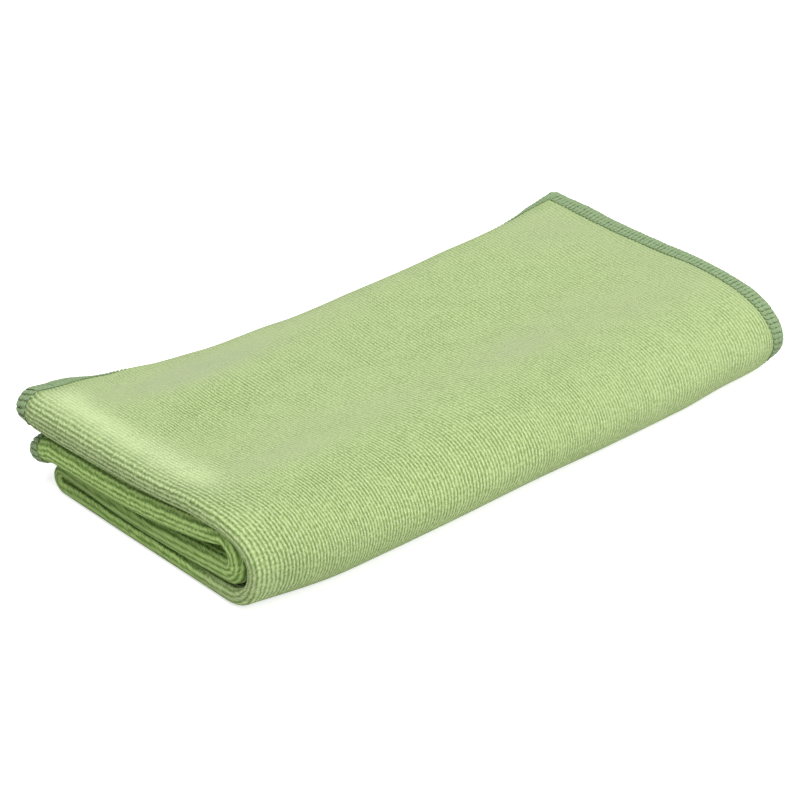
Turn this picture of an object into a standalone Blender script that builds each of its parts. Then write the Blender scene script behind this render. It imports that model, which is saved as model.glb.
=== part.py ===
"""A ribbed microfibre cleaning cloth, overlocked all round and lying folded into a flat pad.

The cloth is first folded in half at the left end (-X), so that it is a leaf of two plies with a
soft roll there and two edges at the right end. The leaf is then folded in half twice across its
width. Its path, seen along X, starts at the upper back edge and runs over the top panel, down
round the front wrap, back under the pad, up round the back fold, forward again, round the inner
fold and back to its second edge. So four panels of two plies each lie on one another, and the
whole is one sheet. Z = 0 is the surface that it rests on. Tables are in millimetres.
"""

import math
from collections import namedtuple

import bpy
import numpy as np

MM = 0.001

SHEET = 1.5            # thickness of the ribbed knit
EDGE_SHEET = 2.0       # thickness under the overlock stitches
EDGE_WIDTH = 5.5       # width of the overlocked edge
EDGE_RAMP = 2.0        # width over which the edge thickens
ROLL_FULLNESS = 1.08   # depth of the end roll as a share of half the leaf's thickness
CORNER_ROUND = 7.0     # length of the end roll that rounds off towards an edge of the leaf
CORNER_BACK = 1.2      # how far the roll draws back there
CORNER_PINCH = 0.12    # share of its thickness that the roll loses there

# One row for each section across the pad. hem_1 and hem_2 are the y of the leaf's two edges,
# back_fold and inner_fold the outermost y of those folds. The front wrap is outermost at nose_y,
# nose_z, and its curve reaches back by top_reach above that and by low_reach below it.
Section = namedtuple("Section", "x hem_1 hem_2 back_fold inner_fold nose_y nose_z top_reach low_reach")
SECTIONS = (
    Section(-97, 50.6, 46.6, 39.4, -40.0, -46.0, 13.0, 15.0, 12.6),
    Section(-68, 48.8, 46.0, 39.4, -39.5, -49.1, 10.0, 18.0, 9.6),
    Section(-34, 46.2, 44.5, 39.0, -39.5, -49.5, 8.8, 19.9, 10.4),
    Section(0, 45.6, 44.0, 39.5, -38.8, -49.2, 8.6, 20.6, 10.2),
    Section(25, 45.0, 43.5, 40.0, -38.0, -49.2, 8.2, 21.3, 8.6),
    Section(56, 46.0, 43.9, 40.8, -36.4, -49.1, 8.2, 25.6, 8.2),
    Section(74, 46.8, 44.4, 41.2, -35.2, -47.9, 8.2, 27.0, 8.6),
    Section(88, 48.0, 45.4, 41.7, -33.0, -47.4, 8.0, 29.4, 8.0),
    Section(99, 49.0, 46.0, 42.0, -31.0, -46.0, 8.2, 31.0, 9.0),
)

# Thickness of the panels and of the gaps between them, from the lowest panel up, at five places
# across each section. The panels are numbered along the leaf, so the top one is the first.
# Behind the back fold, where the leaf's edges hang free, the two lower rows only set its height.
Stack = namedtuple("Stack", "x y panel_4 gap_43 panel_3 gap_32 panel_2 gap_21 panel_1")
STACKS = (
    Stack(-97, 48, 1.3, 0.4, 1.1, 0.5, 9.6, 3.5, 10.7),
    Stack(-97, 36, 3.9, 1.6, 3.4, 0.5, 7.0, 0.6, 9.8),
    Stack(-97, 4, 3.6, 0.5, 4.4, 0.7, 8.5, 0.7, 7.0),
    Stack(-97, -20, 3.9, 0.4, 6.4, 1.9, 7.4, 0.7, 5.1),
    Stack(-97, -35, 4.6, 0.4, 8.4, 3.9, 3.0, 0.5, 4.7),
    Stack(-84, 48, 2.6, 0.4, 2.8, 0.7, 6.8, 2.7, 8.8),
    Stack(-84, 36, 3.9, 1.0, 4.1, 0.5, 6.0, 0.7, 7.8),
    Stack(-84, 4, 3.7, 0.5, 4.4, 0.9, 6.9, 0.7, 6.5),
    Stack(-84, -20, 3.8, 0.5, 5.9, 1.8, 5.7, 0.7, 5.6),
    Stack(-84, -35, 4.1, 0.5, 6.6, 2.6, 3.9, 0.7, 5.2),
    Stack(-68, 48, 3.2, 0.4, 3.6, 0.6, 5.4, 1.8, 6.0),
    Stack(-68, 36, 3.9, 0.5, 4.7, 0.5, 5.0, 0.5, 5.8),
    Stack(-68, 4, 3.8, 0.5, 4.6, 0.9, 5.4, 0.5, 6.0),
    Stack(-68, -20, 3.8, 0.5, 4.8, 1.8, 4.8, 0.5, 5.8),
    Stack(-68, -35, 3.8, 0.5, 5.0, 1.6, 4.6, 0.5, 5.6),
    Stack(-35, 48, 3.8, 0.4, 4.0, 0.5, 4.7, 1.2, 4.9),
    Stack(-35, 36, 4.3, 0.5, 4.5, 0.5, 4.6, 0.5, 5.0),
    Stack(-35, 4, 4.4, 0.5, 4.6, 0.5, 4.6, 0.5, 5.0),
    Stack(-35, -20, 4.3, 0.5, 4.6, 0.5, 4.6, 0.5, 5.2),
    Stack(-35, -35, 4.2, 0.5, 4.4, 0.6, 4.2, 0.6, 5.0),
    Stack(20, 48, 3.8, 0.4, 4.2, 0.5, 4.7, 1.4, 5.0),
    Stack(20, 36, 4.4, 0.5, 4.6, 0.5, 4.6, 0.5, 5.0),
    Stack(20, 4, 4.5, 0.5, 4.6, 0.5, 4.6, 0.5, 5.0),
    Stack(20, -20, 4.4, 0.5, 4.6, 0.5, 4.6, 0.5, 5.2),
    Stack(20, -35, 4.2, 0.5, 4.3, 0.6, 4.0, 0.6, 5.0),
    Stack(68, 48, 4.2, 0.4, 4.4, 0.5, 4.8, 1.6, 5.5),
    Stack(68, 36, 4.7, 0.5, 4.7, 0.5, 4.7, 0.5, 5.3),
    Stack(68, 4, 4.7, 0.5, 4.7, 0.5, 4.8, 0.5, 5.1),
    Stack(68, -20, 4.6, 0.5, 4.6, 0.5, 4.8, 0.5, 5.1),
    Stack(68, -35, 4.3, 0.5, 4.2, 0.6, 3.9, 0.5, 5.0),
    Stack(99, 48, 4.8, 0.5, 5.0, 0.6, 5.4, 1.9, 6.6),
    Stack(99, 36, 5.3, 0.6, 5.3, 0.6, 5.4, 0.6, 6.4),
    Stack(99, 4, 5.3, 0.6, 5.3, 0.6, 5.3, 0.6, 5.7),
    Stack(99, -20, 5.1, 0.6, 5.1, 0.6, 5.0, 0.8, 5.6),
    Stack(99, -35, 4.6, 0.6, 4.4, 0.6, 4.0, 0.8, 5.2),
)

# Places along the leaf's path, one row for the start of each stretch of it and one for the end.
# left_end is the x of the end roll's outermost line there, right_upper and right_lower the x of
# the two edges at the right end, and steps the number of strips to the next row. On the first
# stretch, the strips come from HEM_STOPS.
Place = namedtuple("Place", "name left_end right_upper right_lower steps")
PLACES = (
    Place("edge, upper back", -101.4, 101.2, 99.6, 10),
    Place("front wrap, top", -98.6, 101.6, 99.0, 6),
    Place("front wrap, nose", -96.8, 100.8, 98.8, 5),
    Place("front wrap, foot", -96.9, 99.2, 99.8, 7),
    Place("back fold, foot", -97.7, 98.8, 99.6, 6),
    Place("back fold, top", -97.8, 98.2, 99.0, 8),
    Place("inner fold, foot", -96.6, 98.6, 97.8, 6),
    Place("inner fold, top", -97.6, 99.2, 98.0, 9),
    Place("edge, within", -100.6, 99.8, 98.8, 0),
)

# Soft troughs pressed into the top panel: centre, half sizes, depth and turn in degrees.
Trough = namedtuple("Trough", "x y half_length half_width depth turn")
TROUGHS = (
    Trough(-52, 24, 26, 9, 0.55, 18),
    Trough(-31, -9, 20, 8, 0.50, -8),
    Trough(38, 6, 30, 10, 0.60, 12),
    Trough(72, 16, 12, 9, 0.40, -20),
)

# How the upper ply hangs over the back of the pad at its edge: the angle that it droops by, where
# it starts to, measured from the edge, and how much longer than the lower ply's panel it lies.
Hang = namedtuple("Hang", "x droop start added")
HANGS = (
    Hang(-101, 6, 6.0, 0.4),
    Hang(-90, 14, 6.0, 1.1),
    Hang(-82, 24, 6.5, 3.0),
    Hang(-72, 42, 7.8, 6.1),
    Hang(-60, 54, 9.2, 8.5),
    Hang(-48, 58, 9.8, 8.6),
    Hang(-30, 58, 9.8, 7.4),
    Hang(-8, 58, 9.8, 7.3),
    Hang(20, 58, 9.8, 8.6),
    Hang(48, 58, 9.8, 8.9),
    Hang(62, 58, 9.8, 8.2),
    Hang(74, 56, 9.6, 7.2),
    Hang(84, 44, 8.0, 4.3),
    Hang(92, 24, 6.4, 1.6),
    Hang(101, 10, 6.0, 0.3),
)
HANG_BEND = 4.5        # length over which it turns down
HANG_TUCK = 0.35       # how far the lower ply's edge draws in below it, as a share of what is added

STATION_PITCH = 3.0    # distance along X between the sections that the surface is drawn through
PLY_STEPS = 12         # strips from the roll to the overlocked edge, in each ply
ROLL_STEPS = 8         # strips round the end roll
EDGE_STEPS = (0.0, 0.55, 1.0)
HEM_STOPS = (0.0, 1.2, 2.4, 3.6, 4.8, 6.0, 7.2, 8.4, 10.0, 13.0)  # closer strips, where the edge hangs
HEM_REST = 7           # strips from the last of these to the front wrap


def curve_through(rows, knots, at):
    """Values at one position on a smooth curve through rows, an array with a row for each knot.

    Its slope at a row is the harmonic mean of the slopes on either side, so it never overshoots.
    """
    rows = np.asarray(rows, float)
    knots = np.asarray(knots, float)
    at = min(max(at, knots[0]), knots[-1])
    left = min(int(np.searchsorted(knots, at, side="right")) - 1, len(knots) - 2)
    secants = np.diff(rows, axis=0) / np.diff(knots)[:, None]
    before, after = secants[:-1], secants[1:]
    agree = before * after > 0
    means = np.where(agree, 2 * before * after / np.where(agree, before + after, 1.0), 0.0)
    slopes = np.vstack([secants[:1], means, secants[-1:]])
    span = knots[left + 1] - knots[left]
    t = (at - knots[left]) / span
    return (
        (1 + 2 * t) * (1 - t) ** 2 * rows[left]
        + t * (1 - t) ** 2 * span * slopes[left]
        + t * t * (3 - 2 * t) * rows[left + 1]
        + t * t * (t - 1) * span * slopes[left + 1]
    )


def section_at(x):
    """The section across the pad at x."""
    values = curve_through([row[1:] for row in SECTIONS], [row.x for row in SECTIONS], x)
    return Section(x, *values)


def stack_at(x, y):
    """Thicknesses from the lowest panel up at a place in plan."""
    across = sorted({row.y for row in STACKS})
    along = sorted({row.x for row in STACKS})
    columns = [
        curve_through([row[2:] for row in STACKS if row.y == place], along, x) for place in across
    ]
    return curve_through(columns, across, y)


def trough_depth(x, y):
    """How far the troughs press the top panel down at a place in plan."""
    total = 0.0
    for row in TROUGHS:
        turn = math.radians(row.turn)
        along = (x - row.x) * math.cos(turn) + (y - row.y) * math.sin(turn)
        across = (y - row.y) * math.cos(turn) - (x - row.x) * math.sin(turn)
        total += row.depth * math.exp(-((along / row.half_length) ** 2) - (across / row.half_width) ** 2)
    return total


def panel(number, x, y):
    """Middle height and thickness of one of the four panels, 1 on top to 4 below."""
    heights = stack_at(x, y)
    layer = 2 * (4 - number)
    low = float(heights[:layer].sum())
    thick = float(heights[layer])
    if number == 1:
        thick -= trough_depth(x, y)
    return low + thick / 2, thick


def shares_of(number):
    """How far along a stretch of the path each of its points lies, from 0 to below 1."""
    if number:
        return [step / PLACES[number].steps for step in range(PLACES[number].steps)]
    middle = section_at(0)
    length = middle.hem_1 - middle.nose_y - middle.top_reach
    hem = [stop / length for stop in HEM_STOPS]
    return hem + [hem[-1] + (1 - hem[-1]) * step / HEM_REST for step in range(1, HEM_REST)]


def flat_run(number, x, start, end, shares):
    """Points of the leaf's middle along a panel, as y, z and thickness, without the last one."""
    stops = [start + (end - start) * share for share in shares]
    return [(y, *panel(number, x, y)) for y in stops]


def quarter_wrap(section, centre, reach, top, thick_pair, shares, first):
    """A quarter of the front wrap: the upper one if first, else the lower one."""
    rise = top - section.nose_z if first else section.nose_z
    points = []
    for share in shares:
        angle = math.pi / 2 * (share if first else 1 + share)
        thick = thick_pair[0] + (thick_pair[1] - thick_pair[0]) * share
        y = centre - (reach - thick / 2) * math.sin(angle)
        z = section.nose_z + (rise - thick / 2) * math.cos(angle)
        points.append((y, z, thick))
    return points


def smooth_step(low, high, value):
    """0 up to low, 1 from high and a soft change between."""
    t = np.clip((value - low) / (high - low), 0.0, 1.0)
    return t * t * (3 - 2 * t)


def half_turn(low, high, side, shares):
    """A fold of the leaf from a lower panel to the one above it; side is 1 at the back."""
    y, low_z, low_thick = low
    _, high_z, high_thick = high
    radius = (high_z - low_z) / 2
    points = []
    for share in shares:
        angle = math.pi * share
        # The inner fold keeps the lower panel's fullness until it is nearly round.
        change = share if side > 0 else float(smooth_step(0.25, 0.95, share))
        thick = low_thick + (high_thick - low_thick) * change
        points.append((y + side * radius * math.sin(angle), low_z + radius * (1 - math.cos(angle)), thick))
    return points


def fold_centre(lower, upper, x, outermost, side):
    """The y where a fold between two panels starts, so that it reaches no further than outermost."""
    y = outermost
    for _ in range(6):
        low_z, low_thick = panel(lower, x, y)
        high_z, high_thick = panel(upper, x, y)
        y = outermost - side * ((high_z - low_z) / 2 + (low_thick + high_thick) / 4)
    return y


def leaf_path(x, shares):
    """The middle of the leaf in the section at x: an array of y, z and thickness along its path."""
    cut = section_at(x)
    top_y = cut.nose_y + cut.top_reach
    foot_y = cut.nose_y + cut.low_reach
    back_y = fold_centre(4, 3, x, cut.back_fold, 1)
    inner_y = fold_centre(3, 2, x, cut.inner_fold, -1)
    top_z, top_thick = panel(1, x, top_y)
    foot_thick = panel(4, x, foot_y)[1]
    nose_thick = (top_thick + foot_thick) / 2
    top_outer = top_z + top_thick / 2

    points = flat_run(1, x, cut.hem_1, top_y, shares[0])
    points += quarter_wrap(cut, top_y, cut.top_reach, top_outer, (top_thick, nose_thick), shares[1], True)
    points += quarter_wrap(cut, foot_y, cut.low_reach, top_outer, (nose_thick, foot_thick), shares[2], False)
    points += flat_run(4, x, foot_y, back_y, shares[3])
    points += half_turn((back_y, *panel(4, x, back_y)), (back_y, *panel(3, x, back_y)), 1, shares[4])
    points += flat_run(3, x, back_y, inner_y, shares[5])
    points += half_turn((inner_y, *panel(3, x, inner_y)), (inner_y, *panel(2, x, inner_y)), -1, shares[6])
    points += flat_run(2, x, inner_y, cut.hem_2, shares[7])
    points.append((cut.hem_2, *panel(2, x, cut.hem_2)))
    return np.array(points)


def outward(path):
    """Unit normals of a path, on the side that is up on the top panel."""
    run = np.gradient(path[:, :2], axis=0)
    run /= np.linalg.norm(run, axis=1)[:, None]
    return np.column_stack([run[:, 1], -run[:, 0]])


def place_values(shares):
    """The columns of PLACES at every point of the path, with soft changes between its rows."""
    starts = np.concatenate([[0], np.cumsum([row.steps for row in PLACES[:-1]])])
    rows = [row[1:4] for row in PLACES]
    stops = [starts[i] + share * PLACES[i].steps for i in range(len(shares)) for share in shares[i]]
    return np.array([curve_through(rows, starts, stop) for stop in stops + [starts[-1]]])


def leaf_stations(shares):
    """Sections a few millimetres apart: their x, and y, z, thickness and normal along each path."""
    count = math.ceil((SECTIONS[-1].x - SECTIONS[0].x) / STATION_PITCH) + 1
    stations = np.linspace(SECTIONS[0].x, SECTIONS[-1].x, count)
    paths = [leaf_path(x, shares) for x in stations]
    return stations, np.array([np.column_stack([path, outward(path)]) for path in paths])


def edge_share(distance):
    """1 within the overlocked edge, falling to 0 inside it."""
    return min(max((EDGE_WIDTH + EDGE_RAMP - distance) / EDGE_RAMP, 0.0), 1.0)


def sheet_thickness(distance):
    """Thickness of the sheet at a distance from its nearest edge."""
    return SHEET + (EDGE_SHEET - SHEET) * edge_share(distance)


def leaf_surface():
    """The sheet's middle surface as x, y, z and thickness, with a row for each point of the path.

    A row runs from the right edge of the upper ply to the roll, round it and back in the lower ply.
    """
    shares = [shares_of(number) for number in range(len(PLACES) - 1)]
    stations, paths = leaf_stations(shares)
    middle = paths[len(stations) // 2]
    lengths = np.concatenate([[0], np.cumsum(np.linalg.norm(np.diff(middle[:, :2], axis=0), axis=1))])
    rows = []
    for i, (left_end, right_upper, right_lower) in enumerate(place_values(shares)):
        to_end = min(lengths[i], lengths[-1] - lengths[i])
        rounding = max(1 - to_end / CORNER_ROUND, 0.0) ** 2
        end_thick = np.interp(left_end, stations, paths[:, i, 2])
        depth = ROLL_FULLNESS * end_thick * (1 - CORNER_PINCH * rounding) / 2
        roll_x = left_end + CORNER_BACK * rounding + depth

        def leaf_point(x, lift, sheet):
            """The point at x whose distance from the leaf's middle is lift times its half thickness."""
            y, z, thick, out_y, out_z = [np.interp(x, stations, paths[:, i, k]) for k in range(5)]
            pinch = 1 - CORNER_PINCH * rounding * math.exp(-(((x - roll_x) / CORNER_ROUND) ** 2))
            offset = lift * (thick * pinch - sheet) / 2
            return y + out_y * offset, z + out_z * offset

        plies = []
        for side, right in ((1, right_upper), (-1, right_lower)):
            inner = right - EDGE_WIDTH
            stops = [roll_x + (inner - roll_x) * step / PLY_STEPS for step in range(PLY_STEPS)]
            stops += [inner + EDGE_WIDTH * share for share in EDGE_STEPS]
            sheets = [sheet_thickness(min(to_end, right - x)) for x in stops]
            plies.append([(x, *leaf_point(x, side, sheet), sheet) for x, sheet in zip(stops, sheets)])
        sheet = sheet_thickness(to_end)
        roll = []
        for step in range(1, ROLL_STEPS):
            angle = math.pi * step / ROLL_STEPS
            x = roll_x - (depth - sheet / 2) * math.sin(angle)
            roll.append((x, *leaf_point(roll_x, math.cos(angle), sheet), sheet))
        rows.append(plies[0][::-1] + roll + plies[1])
    return hung_over(np.array(rows))


def hung_over(rows):
    """The surface with the upper ply lengthened at its back edge, where it hangs over the pad."""
    rows = rows.copy()
    zone = rows[: len(HEM_STOPS), :, :3].copy()
    reach = np.cumsum(np.linalg.norm(np.diff(zone[0], axis=0, prepend=zone[0, :1]), axis=1))
    upper = smooth_step(-4.0, 5.0, reach[rows.shape[1] // 2] - reach)
    droops, starts, added = np.array(
        [curve_through([row[1:] for row in HANGS], [row.x for row in HANGS], x) for x in zone[0, :, 0]]
    ).T
    steps = zone[:-1] - zone[1:]
    lengths = np.linalg.norm(steps, axis=2)
    stretch = 1 + added * (upper - HANG_TUCK * (1 - upper)) / lengths.sum(axis=0)
    steps, lengths = steps * stretch[:, None], lengths * stretch
    from_edge = np.cumsum(lengths, axis=0)
    turned = 1 - smooth_step(starts - HANG_BEND, starts, from_edge - lengths / 2)
    angle = np.radians(droops) * upper * turned
    down = np.stack([0 * steps[..., 0], -steps[..., 2], steps[..., 1]], axis=-1)
    steps = steps * np.cos(angle)[..., None] - down * np.sin(angle)[..., None]
    rows[: len(zone) - 1, :, :3] = zone[-1] + np.cumsum(steps[::-1], axis=0)[::-1]
    for j in range(rows.shape[1]):
        from_right = min(reach[j], reach[-1] - reach[j])
        for i in range(1, len(zone)):
            rows[i, j, 3] = sheet_thickness(min(from_edge[i - 1, j], from_right))
    return rows


def cloth_mesh(rows):
    """The sheet's middle surface as a mesh, with its thickness as vertex weights of the edge's."""
    count_s, count_u = rows.shape[:2]
    faces = [
        (i * count_u + j, (i + 1) * count_u + j, (i + 1) * count_u + j + 1, i * count_u + j + 1)
        for i in range(count_s - 1)
        for j in range(count_u - 1)
    ]
    mesh = bpy.data.meshes.new("cloth")
    mesh.from_pydata((rows[..., :3].reshape(-1, 3) * MM).tolist(), [], faces)
    mesh.validate()
    mesh.shade_smooth()
    return mesh


def cloth_material():
    """Light green microfibre, dull and slightly fuzzy."""
    material = bpy.data.materials.new("green_microfibre")
    material.use_nodes = True
    shader = material.node_tree.nodes["Principled BSDF"]
    shader.inputs["Base Color"].default_value = (0.50, 0.66, 0.28, 1.0)
    shader.inputs["Roughness"].default_value = 0.95
    shader.inputs["Metallic"].default_value = 0.0
    return material


def centre_on_floor(obj):
    """Moves the mesh so that the solid's box is centred over the origin and stands on Z = 0."""
    bpy.context.view_layer.update()
    evaluated = obj.evaluated_get(bpy.context.evaluated_depsgraph_get())
    corners = np.array([tuple(corner) for corner in evaluated.bound_box])
    low, high = corners.min(axis=0), corners.max(axis=0)
    shift = np.array([-(low[0] + high[0]) / 2, -(low[1] + high[1]) / 2, -low[2]])
    for vertex in obj.data.vertices:
        vertex.co = tuple(np.array(vertex.co) + shift)


def clear_scene():
    for obj in list(bpy.data.objects):
        bpy.data.objects.remove(obj, do_unlink=True)


def build_cloth():
    """The one piece: the folded sheet, given its thickness by Solidify."""
    rows = leaf_surface()
    mesh = cloth_mesh(rows)
    cloth = bpy.data.objects.new("cloth", mesh)
    collection = bpy.data.collections.new("microfibre_cloth")
    bpy.context.scene.collection.children.link(collection)
    collection.objects.link(cloth)
    cloth.data.materials.append(cloth_material())

    weights = cloth.vertex_groups.new(name="thickness")
    for index, sheet in enumerate(rows[..., 3].ravel()):
        weights.add([index], float(sheet) / EDGE_SHEET, "REPLACE")
    solidify = cloth.modifiers.new("sheet", "SOLIDIFY")
    solidify.thickness = EDGE_SHEET * MM
    solidify.offset = 0.0
    solidify.vertex_group = "thickness"
    centre_on_floor(cloth)
    return cloth


clear_scene()
build_cloth()
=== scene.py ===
"""A folded microfibre cloth: one ribbed green sheet with an overlocked edge.

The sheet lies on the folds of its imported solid, worked out here from the same tables at a finer
step. Everything before the studio is in millimetres, with X along the pad from the rolled end to
the hems, Y from the front wrap to the free edges and Z up, and is scaled to metres at the end.
"""

from __future__ import annotations

import logging
import math
from dataclasses import dataclass, field
from enum import Enum
from typing import NamedTuple

import bpy
import numpy as np
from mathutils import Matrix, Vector


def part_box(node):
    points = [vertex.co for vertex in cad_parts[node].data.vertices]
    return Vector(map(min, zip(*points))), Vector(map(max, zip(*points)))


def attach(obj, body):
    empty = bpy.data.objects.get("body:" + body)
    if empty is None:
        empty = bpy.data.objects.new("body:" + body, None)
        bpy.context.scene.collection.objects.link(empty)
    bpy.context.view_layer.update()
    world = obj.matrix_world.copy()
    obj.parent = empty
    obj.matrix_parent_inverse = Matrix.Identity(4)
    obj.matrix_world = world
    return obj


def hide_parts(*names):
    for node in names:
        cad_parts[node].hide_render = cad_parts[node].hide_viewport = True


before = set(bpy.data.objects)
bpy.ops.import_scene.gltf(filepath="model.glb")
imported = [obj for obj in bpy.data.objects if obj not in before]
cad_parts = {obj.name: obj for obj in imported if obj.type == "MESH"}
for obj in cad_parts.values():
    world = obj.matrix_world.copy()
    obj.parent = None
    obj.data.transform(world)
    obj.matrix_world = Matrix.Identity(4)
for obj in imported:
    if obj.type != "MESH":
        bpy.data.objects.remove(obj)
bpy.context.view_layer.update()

LOG = logging.getLogger("folded_cloth")
MM = 0.001
CLOTH_NODE = "cloth"
CORNER_NARROWING = 0.5  # share of the edging's width that curls out of sight at the far corner

Colour = tuple[float, float, float]
Array = np.ndarray
Span = tuple[float, float]
Socket = bpy.types.NodeSocket
Source = Socket | float | tuple[float, ...]  # what feeds an input of a node


# --------------------------------------------------------------------------------------------
# How the cloth is folded
# --------------------------------------------------------------------------------------------


class Section(NamedTuple):
    """One section across the pad: where the leaf's edges and folds lie."""

    x: float
    hem_1: float
    hem_2: float
    back_fold: float
    inner_fold: float
    nose_y: float
    nose_z: float
    top_reach: float
    low_reach: float


class Stack(NamedTuple):
    """Thicknesses of the panels and gaps at one place in plan, from the lowest panel up."""

    x: float
    y: float
    panel_4: float
    gap_43: float
    panel_3: float
    gap_32: float
    panel_2: float
    gap_21: float
    panel_1: float


class Place(NamedTuple):
    """The ends of the leaf at one place along its path, and the strips from there to the next."""

    name: str
    left_end: float
    right_upper: float
    right_lower: float
    solid_strips: int
    strips: int


class Trough(NamedTuple):
    """A soft trough, or a ridge where depth is negative: centre, half sizes, depth and turn."""

    x: float
    y: float
    half_length: float
    half_width: float
    depth: float
    turn: float


class Hang(NamedTuple):
    """How the upper ply's back edge hangs over: its droop, where that starts and added cloth."""

    x: float
    droop: float
    start: float
    added: float


class Lean(NamedTuple):
    """How far the ribs turn off their line at a place along the path, near five places across."""

    along: float
    near_roll: float
    left: float
    middle: float
    right: float
    near_hem: float


class Pitch(NamedTuple):
    """The distance between ribs at a distance from the roll, as a share of the usual one."""

    from_roll: float
    share: float


class Nap(NamedTuple):
    """A patch where the pile is brushed over the ribs: centre, half sizes, strength and turn."""

    x: float
    y: float
    half_length: float
    half_width: float
    strength: float
    turn: float


SECTIONS = (
    Section(-97, 50.6, 46.6, 39.4, -40.0, -46.0, 13.0, 15.0, 12.6),
    Section(-68, 48.8, 46.0, 39.4, -39.5, -49.1, 10.0, 18.0, 9.6),
    Section(-34, 46.2, 44.5, 39.0, -39.5, -49.5, 8.8, 19.9, 10.4),
    Section(0, 45.6, 44.0, 39.5, -38.8, -49.2, 8.6, 20.6, 10.2),
    Section(25, 45.0, 43.5, 40.0, -38.0, -49.2, 8.2, 21.3, 8.6),
    Section(56, 46.0, 43.9, 40.8, -36.4, -49.1, 8.2, 25.6, 8.2),
    Section(74, 46.8, 44.4, 41.2, -35.2, -47.9, 8.2, 27.0, 8.6),
    Section(88, 48.0, 45.4, 41.7, -33.0, -47.4, 8.0, 29.4, 8.0),
    Section(99, 49.0, 46.0, 42.0, -31.0, -46.0, 8.2, 31.0, 9.0),
)

STACKS = (
    Stack(-97, 48, 1.3, 0.4, 1.1, 0.5, 9.6, 3.5, 10.7),
    Stack(-97, 36, 3.9, 1.6, 3.4, 0.5, 7.0, 0.6, 9.8),
    Stack(-97, 4, 3.6, 0.5, 4.4, 0.7, 8.5, 0.7, 7.0),
    Stack(-97, -20, 3.9, 0.4, 6.4, 1.9, 7.4, 0.7, 5.1),
    Stack(-97, -35, 4.6, 0.4, 8.4, 3.9, 3.0, 0.5, 4.7),
    Stack(-84, 48, 2.6, 0.4, 2.8, 0.7, 6.8, 2.7, 8.8),
    Stack(-84, 36, 3.9, 1.0, 4.1, 0.5, 6.0, 0.7, 7.8),
    Stack(-84, 4, 3.7, 0.5, 4.4, 0.9, 6.9, 0.7, 6.5),
    Stack(-84, -20, 3.8, 0.5, 5.9, 1.8, 5.7, 0.7, 5.6),
    Stack(-84, -35, 4.1, 0.5, 6.6, 2.6, 3.9, 0.7, 5.2),
    Stack(-68, 48, 3.2, 0.4, 3.6, 0.6, 5.4, 1.8, 6.0),
    Stack(-68, 36, 3.9, 0.5, 4.7, 0.5, 5.0, 0.5, 5.8),
    Stack(-68, 4, 3.8, 0.5, 4.6, 0.9, 5.4, 0.5, 6.0),
    Stack(-68, -20, 3.8, 0.5, 4.8, 1.8, 4.8, 0.5, 5.8),
    Stack(-68, -35, 3.8, 0.5, 5.0, 1.6, 4.6, 0.5, 5.6),
    Stack(-35, 48, 3.8, 0.4, 4.0, 0.5, 4.7, 1.2, 4.9),
    Stack(-35, 36, 4.3, 0.5, 4.5, 0.5, 4.6, 0.5, 5.0),
    Stack(-35, 4, 4.4, 0.5, 4.6, 0.5, 4.6, 0.5, 5.0),
    Stack(-35, -20, 4.3, 0.5, 4.6, 0.5, 4.6, 0.5, 5.2),
    Stack(-35, -35, 4.2, 0.5, 4.4, 0.6, 4.2, 0.6, 5.0),
    Stack(20, 48, 3.8, 0.4, 4.2, 0.5, 4.7, 1.4, 5.0),
    Stack(20, 36, 4.4, 0.5, 4.6, 0.5, 4.6, 0.5, 5.0),
    Stack(20, 4, 4.5, 0.5, 4.6, 0.5, 4.6, 0.5, 5.0),
    Stack(20, -20, 4.4, 0.5, 4.6, 0.5, 4.6, 0.5, 5.2),
    Stack(20, -35, 4.2, 0.5, 4.3, 0.6, 4.0, 0.6, 5.0),
    Stack(68, 48, 4.2, 0.4, 4.4, 0.5, 4.8, 1.6, 5.5),
    Stack(68, 36, 4.7, 0.5, 4.7, 0.5, 4.7, 0.5, 5.3),
    Stack(68, 4, 4.7, 0.5, 4.7, 0.5, 4.8, 0.5, 5.1),
    Stack(68, -20, 4.6, 0.5, 4.6, 0.5, 4.8, 0.5, 5.1),
    Stack(68, -35, 4.3, 0.5, 4.2, 0.6, 3.9, 0.5, 5.0),
    Stack(99, 48, 4.8, 0.5, 5.0, 0.6, 5.4, 1.9, 6.6),
    Stack(99, 36, 5.3, 0.6, 5.3, 0.6, 5.4, 0.6, 6.4),
    Stack(99, 4, 5.3, 0.6, 5.3, 0.6, 5.3, 0.6, 5.7),
    Stack(99, -20, 5.1, 0.6, 5.1, 0.6, 5.0, 0.8, 5.6),
    Stack(99, -35, 4.6, 0.6, 4.4, 0.6, 4.0, 0.8, 5.2),
)

PLACES = (
    Place("edge, upper back", -101.4, 101.2, 99.6, 10, 40),
    Place("front wrap, top", -98.6, 101.6, 99.0, 6, 16),
    Place("front wrap, nose", -96.8, 100.8, 98.8, 5, 14),
    Place("front wrap, foot", -96.9, 99.2, 99.8, 7, 30),
    Place("back fold, foot", -97.7, 98.8, 99.6, 6, 14),
    Place("back fold, top", -97.8, 98.2, 99.0, 8, 28),
    Place("inner fold, foot", -96.6, 98.6, 97.8, 6, 14),
    Place("inner fold, top", -97.6, 99.2, 98.0, 9, 36),
    Place("edge, within", -100.6, 99.8, 98.8, 0, 0),
)

TROUGHS = (
    Trough(-52, 24, 26, 9, 0.55, 18),
    Trough(-31, -9, 20, 8, 0.50, -8),
    Trough(38, 6, 30, 10, 0.60, 12),
    Trough(72, 16, 12, 9, 0.40, -20),
)

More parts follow.
